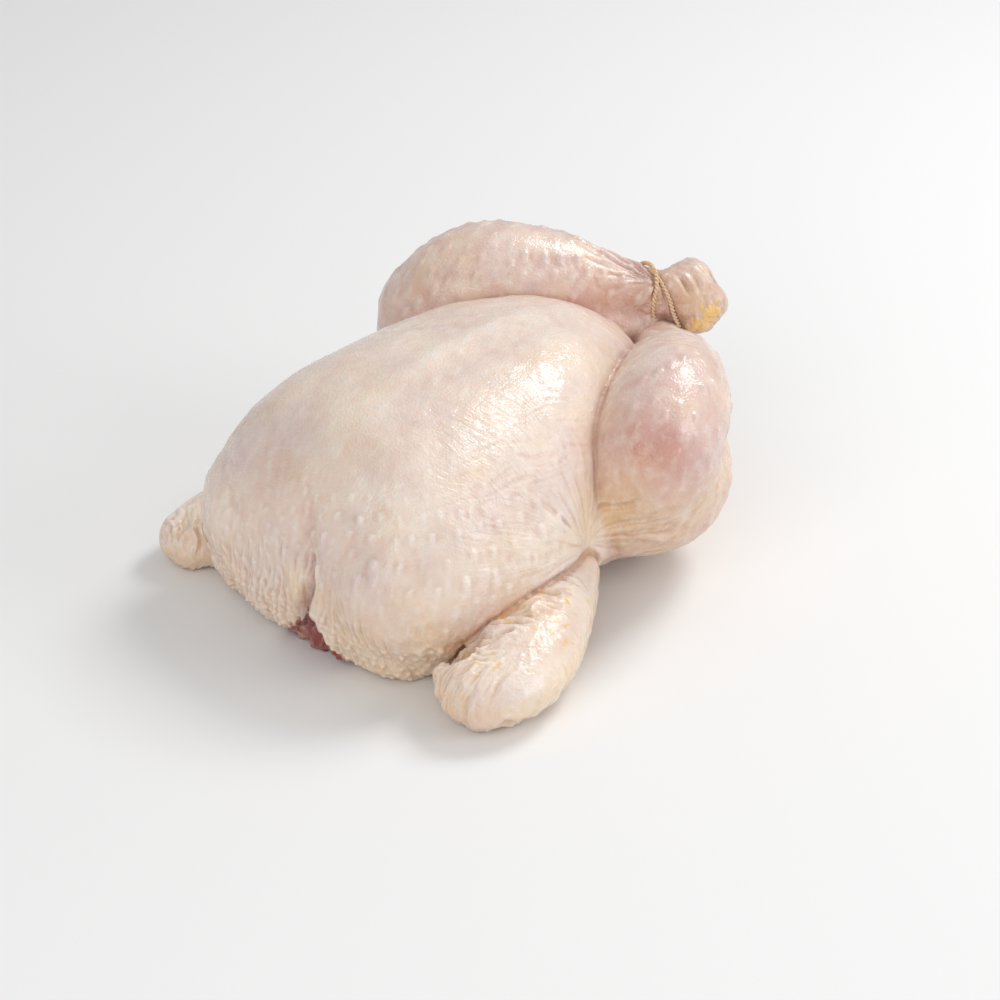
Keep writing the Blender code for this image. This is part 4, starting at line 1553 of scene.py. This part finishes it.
    def shaded_neck_strip(self, points: Array) -> Array:
        """Return 1 on the tucked skin beside the cleft, where a reddish brown stands for painted
        shade in the deep fold, over the tucked skin's own pinker tone.
        """
        x, y, z = points.T
        aside = y - self.cleft.middle(z)
        width = np.clip(6.0 + 0.28 * (54.0 - z), 6.0, 14.0)
        strip = ramp(aside, -0.2, 0.8) * ramp(aside / width, 1.0, 0.35)
        return strip * ramp(x, 12.0, 0.0) * ramp(z, 60.0, 46.0)

    def tints(self, surface: Surface, parts: Belonging, tint: Array) -> dict[str, Array]:
        """Return how strongly each tint shows at every point, painted shade and painted light among
        them.

        Args:
            surface: The finished surface, in units.
            parts: Which part each point belongs to.
            tint: Where the follicles stand out.

        Returns:
            Numbers from 0 to 1 for each of the tints.
        """
        points, normals = surface.points, surface.normals()
        x, _y, z = points.T
        slow, fast = Noise(101)(points, 24.0), Noise(102)(points, 9.0)
        blotch = 0.5 + 0.5 * slow + 0.25 * fast
        legs, wings = parts.legs(), parts.wings()
        right_leg = parts.share(Part.LEG_RIGHT)
        # hollow carries painted shade into the small hollows, crest carries painted highlight onto
        # the small crests
        hollow, crest = self.hollows(surface)
        mottle = np.clip(Noise(107)(points, 8.0) + 0.5 * Noise(108)(points, 4.0), -1.0, 1.0)
        fatty = legs * np.clip(-mottle, 0.0, 1.0)
        # the deep part of the wing's pocket, darkened below with mauve and brown as painted shade
        pocket = ramp(parts.cut, 1.0, 5.0) * wings
        # strip: where the cleft's deep fold gets its painted shade
        strip = self.shaded_neck_strip(points)
        spots = {name: patches(points, table) for name, table in self.SPOTS.items()}

        pink = spots["pink"] + 0.08 * blotch + 0.20 * legs * (0.5 + 0.5 * blotch)
        pink += 0.22 * legs * np.clip(mottle, 0.0, 1.0)
        pink += 0.20 * wings * ramp(x, 12.0, -6.0)
        # painted shade: pinker in the small hollows
        pink += 0.25 * hollow * (1.0 - 0.8 * wings)
        mauve = spots["mauve"] + 0.34 * np.clip(blotch - 0.2, 0, 1) + 0.12 * legs
        mauve += spots["mauve_mottled"] * (0.6 + 0.6 * fast)
        streaks = np.clip(Noise(109)(points, (16.0, 6.0, 5.0)), 0.0, 1.0)
        mauve += 0.50 * parts.share(Part.LEG_LEFT) * streaks
        # painted shade: mauve in the small hollows and deep in the wing's pocket
        mauve += 0.15 * hollow * (1.0 - wings) + 0.6 * pocket
        fat = spots["fat"] + 0.03 + 0.14 * Noise(103)(points, 15.0) + 0.08 * fatty
        fat += self.relief.scales(points) * (0.95 + 0.25 * Noise(110)(points, 1.4))
        # painted warm bounce light: the lower front of the torso yellower
        fat += 0.24 * ramp(z, 50.0, 20.0) * ramp(x, 60.0, 10.0) * (1.0 - wings)
        # wings: yellower in their small hollows as painted shade, a little overall in their own
        # colour, and on their down-facing sides as painted warm bounce light over their own
        # yellowish fat
        fat += wings * (0.25 * hollow + 0.08 + 0.24 * ramp(normals[:, 2], 0.6, -0.2))
        fat += 0.22 * right_leg * ramp(z, 84.0, 50.0)
        fat += wings * np.clip(Noise(104)(points, 3.2) - 0.46, 0, 1) * 2.0 * ramp(z, 26.0, 32.0)
        fat *= 1.0 - 0.8 * strip
        # paler where the surface faces up as painted light from above, on small crests as painted
        # highlight, and on the follicles' tips in their own paler tone with a painted highlight
        pale = spots["pale"] + 0.30 * ramp(normals[:, 2], 0.0, 0.8) + 0.10 * tint + 0.70 * crest
        # the wings and the fatty mottles paler in their own colour; the lower front of the neck end
        # paler as painted bounce light from below
        pale += 0.25 * wings + 0.20 * fatty + 0.60 * ramp(z, 50.0, 14.0) * ramp(x, 40.0, 4.0)
        # painted light: the left wing drawn paler. The right leg is paler towards its bottom.
        pale += 0.35 * parts.share(Part.WING_LEFT) + 0.30 * right_leg * ramp(z, 70.0, 40.0)
        painted_shade_and_bare = spots["painted_shade_and_bare"] * (1.15 - 0.45 * ramp(x, 228.0, 238.0))
        # painted shade: the legs browner on their down-facing sides
        painted_shade_and_bare += 0.45 * legs * ramp(normals[:, 2], 0.2, -0.7) * ramp(z, 20.0, 40.0)
        # painted shade: browner in the small hollows; the legs' slight overall brown is their own
        painted_shade_and_bare += 0.45 * hollow + 0.08 * legs
        # painted shade: reddish brown along the cleft's fold
        painted_shade_and_bare += strip * (0.38 + 0.55 * (0.7 + 0.5 * Noise(106)(points, 3.0)))
        # painted shade: browner deep in the wing's pocket
        painted_shade_and_bare = np.clip(painted_shade_and_bare * (0.85 + 0.35 * fast), 0.0, 0.9) + 0.4 * pocket
        torn = self.cleft.torn(points) * np.clip(0.95 + 0.5 * Noise(105)(points, 3.0), 0.6, 1.0)
        # the torn flesh's own red, and redder along the cleft's fold as painted shade
        flesh = spots["flesh"] + torn + 0.32 * strip * ramp(z, 56.0, 36.0)
        # painted shade: pink, brown and red darken the creases where each limb meets the torso
        for limb in (Part.LEG_LEFT, Part.LEG_RIGHT, Part.WING_RIGHT, Part.WING_LEFT):
            pink += 0.35 * parts.crease(limb, 3.0)
            painted_shade_and_bare += 0.55 * parts.crease(limb, 2.2)
            flesh += 0.14 * parts.crease(limb, 1.8)
        values = dict(zip(TINTS, (pale, mauve, pink, painted_shade_and_bare, fat, flesh)))
        return {name: np.clip(value, 0.0, 1.0) for name, value in values.items()}

    def mesh(
        self, surface: Surface, layers: dict[str, Array], strain: Array, shift: Vector
    ) -> bpy.types.Object:
        """Return the skin as an object in the shared frame.

        Args:
            surface: The finished surface, in units.
            layers: The tints at every point.
            strain: Where each point lies in the pattern of stretched lines.
            shift: The working frame's origin, in units.

        Returns:
            The skin's object.
        """
        data = bpy.data.meshes.new("chicken_skin")
        count = len(surface.triangles)
        data.vertices.add(len(surface.points))
        places = (surface.points + np.array(shift)) * UNIT
        data.vertices.foreach_set("co", places.astype(np.float32).ravel())
        data.loops.add(3 * count)
        data.loops.foreach_set("vertex_index", surface.triangles.astype(np.int32).ravel())
        data.polygons.add(count)
        data.polygons.foreach_set("loop_start", np.arange(count, dtype=np.int32) * 3)
        data.polygons.foreach_set("use_smooth", np.ones(count, bool))
        data.update(calc_edges=True)
        data.validate()
        for name, values in layers.items():
            layer = data.attributes.new(name, "FLOAT", "POINT")
            layer.data.foreach_set("value", values.astype(np.float32))
        places = data.attributes.new("strain", "FLOAT_VECTOR", "POINT")
        places.data.foreach_set("vector", strain.astype(np.float32).ravel())
        data.materials.append(self.finish.material())
        return placed("chicken_skin", data)

    def build(self, cord: Cord, shift: Vector) -> Array:
        """Build the skin, and return the line that the twine follows over it.

        Args:
            cord: Lays the twine's line.
            shift: The working frame's origin, in units.

        Returns:
            Points of the twine's closed line, in units.
        """
        surface, parts = self.shape()
        LOG.info("skin forms: %d triangles", len(surface.triangles))
        tint = self.work_relief(surface, parts)
        tree = BVHTree.FromPolygons(surface.points.tolist(), surface.triangles.tolist())
        line = cord.line(tree)
        self.tie(surface, line)
        surface.points[:, 2] = np.maximum(surface.points[:, 2], 0.0)
        layers = self.tints(surface, parts, tint)
        strain, strained = self.relief.strain(surface.points, surface.normals(), parts)
        layers["strained"] = strained
        skin = self.mesh(surface, layers, strain, shift)
        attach(skin, "root")
        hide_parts("chicken")
        LOG.info("skin: %d points", len(surface.points))
        return line


@dataclass
class Twine:
    """Two plies laid round each other along the cord's line."""

    finish: TwineFinish = field(default_factory=TwineFinish)
    ply_radius: float = 0.51 * MM
    lay_radius: float = 0.45 * MM
    pitch: float = 3.4 * MM
    sides: int = 8
    per_turn: int = 12

    def fine_line(self, line: Array) -> Array:
        """Return the closed line with evenly spaced points, rounded between them."""
        closed = np.vstack([line[-1:], line, line[:2]])
        rows = []
        for k in range(1, len(closed) - 2):
            for share in np.linspace(0, 1, 8, endpoint=False):
                rows.append(curve(*closed[k - 1 : k + 3], share))
        dense = np.array(rows + rows[:1])
        lengths = np.concatenate([[0], np.cumsum(np.linalg.norm(np.diff(dense, axis=0), axis=1))])
        turns = round(lengths[-1] / self.pitch)
        places = np.linspace(0, lengths[-1], turns * self.per_turn, endpoint=False)
        self.turns = turns
        return np.stack([np.interp(places, lengths, dense[:, k]) for k in range(3)], 1)

    def ply(self, line: Array, start: float) -> tuple[Array, Array]:
        """Return the points and quads of one ply, which starts at this angle."""
        ahead = np.roll(line, -1, axis=0) - np.roll(line, 1, axis=0)
        ahead /= np.linalg.norm(ahead, axis=1, keepdims=True)
        side = np.cross(ahead, (1.0, 0.0, 0.0))
        side /= np.linalg.norm(side, axis=1, keepdims=True)
        up = np.cross(side, ahead)
        lay = start + 2 * math.pi * self.turns * np.arange(len(line)) / len(line)
        out = side * np.cos(lay)[:, None] + up * np.sin(lay)[:, None]
        middle = line + out * self.lay_radius
        around = np.linspace(0, 2 * math.pi, self.sides, endpoint=False)[None, :, None]
        other = np.cross(ahead, out)
        loops = middle[:, None] + self.ply_radius * (
            out[:, None] * np.cos(around) + other[:, None] * np.sin(around)
        )
        count = len(line)
        base = np.arange(count)[:, None] * self.sides
        after = (np.arange(count)[:, None] + 1) % count * self.sides
        side_a = np.arange(self.sides)[None, :]
        side_b = (side_a + 1) % self.sides
        quads = np.stack([base + side_a, base + side_b, after + side_b, after + side_a], 2)
        return loops.reshape(-1, 3), quads.reshape(-1, 4)

    def build(self, line: Array, shift: Vector) -> None:
        """Build the twine, in the place of its solid.

        Args:
            line: Points of its closed line, in units.
            shift: The working frame's origin, in units.
        """
        fine = self.fine_line(line)
        points, quads = [], []
        for start in (0.0, math.pi):
            ring_points, ring_quads = self.ply(fine, start)
            quads.append(ring_quads + sum(len(part) for part in points))
            points.append(ring_points)
        data = bpy.data.meshes.new("tied_twine")
        places = (np.vstack(points) + np.array(shift)) * UNIT
        data.from_pydata(places.tolist(), [], np.vstack(quads).tolist())
        data.polygons.foreach_set("use_smooth", np.ones(len(data.polygons), bool))
        data.materials.append(self.finish.material())
        obj = placed("tied_twine", data)
        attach(obj, "root")
        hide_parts("twine")
        LOG.info("twine: %d points", len(data.vertices))


# ------------------------------------------------------------------ studio


@dataclass
class Softbox:
    """A soft light, by where it stands and how bright it is."""

    name: str
    place: Triple
    size: float
    power: float

    AIM = (0.0, 0.0, 0.04)

    def build(self) -> None:
        """Add the light, aimed at the bird."""
        data = bpy.data.lights.new(self.name, "AREA")
        data.shape = "SQUARE"
        data.size = self.size
        data.energy = self.power
        obj = placed(self.name, data)
        obj.location = self.place
        aim = Vector(self.AIM) - Vector(self.place)
        obj.rotation_euler = aim.to_track_quat("-Z", "Y").to_euler()


@dataclass
class Studio:
    """The floor, the lights and the camera."""

    camera_place: Triple = (-671.70, -785.77, 659.44)
    camera_back: Triple = (-0.61525, -0.61324, 0.49538)
    lens: float = 98.862
    floor_side: float = 8.0
    floor_colour: Triple = (0.86, 0.86, 0.86)
    world_light: float = 0.485
    lights: Sequence[Softbox] = (
        Softbox("key_light", (0.87, -0.12, 1.08), 0.5, 8.5),
        Softbox("side_light", (0.60, -1.25, 0.70), 0.7, 5.2),
        Softbox("fill_light", (-1.1, -0.5, 0.8), 1.0, 6.0),
    )

    def build(self, shift: Vector) -> None:
        """Add the camera, the floor, the lights and the pale surround."""
        scene = bpy.context.scene
        camera = placed("camera", bpy.data.cameras.new("camera"))
        camera.data.lens = self.lens
        camera.data.sensor_width = 36.0
        camera.data.clip_start = 0.01
        camera.location = (Vector(self.camera_place) + shift) * UNIT
        camera.rotation_euler = Vector(self.camera_back).to_track_quat("Z", "Y").to_euler()
        scene.camera = camera

        half = self.floor_side / 2
        data = bpy.data.meshes.new("floor")
        corners = [(-half, -half, 0), (half, -half, 0), (half, half, 0), (-half, half, 0)]
        data.from_pydata(corners, [], [(0, 1, 2, 3)])
        made = Nodes("pale_floor")
        made.set("Base Color", self.floor_colour)
        made.set("Roughness", 0.7)
        data.materials.append(made.material)
        floor = placed("floor", data)

        for light in self.lights:
            light.build()
        world = bpy.data.worlds.new("surround")
        world.use_nodes = True
        background = world.node_tree.nodes["Background"]
        background.inputs["Color"].default_value = (1.0, 1.0, 1.0, 1.0)
        background.inputs["Strength"].default_value = self.world_light
        scene.world = world
        scene.view_settings.view_transform = "Standard"


def main() -> None:
    """Build the studio, the bird and its twine."""
    logging.basicConfig(level=logging.INFO, format="%(name)s: %(message)s")
    shift = to_frame()
    Studio().build(shift)
    cord = Cord()
    line = Chicken().build(cord, shift)
    Twine().build(line, shift)


if __name__ == "__main__":
    main()
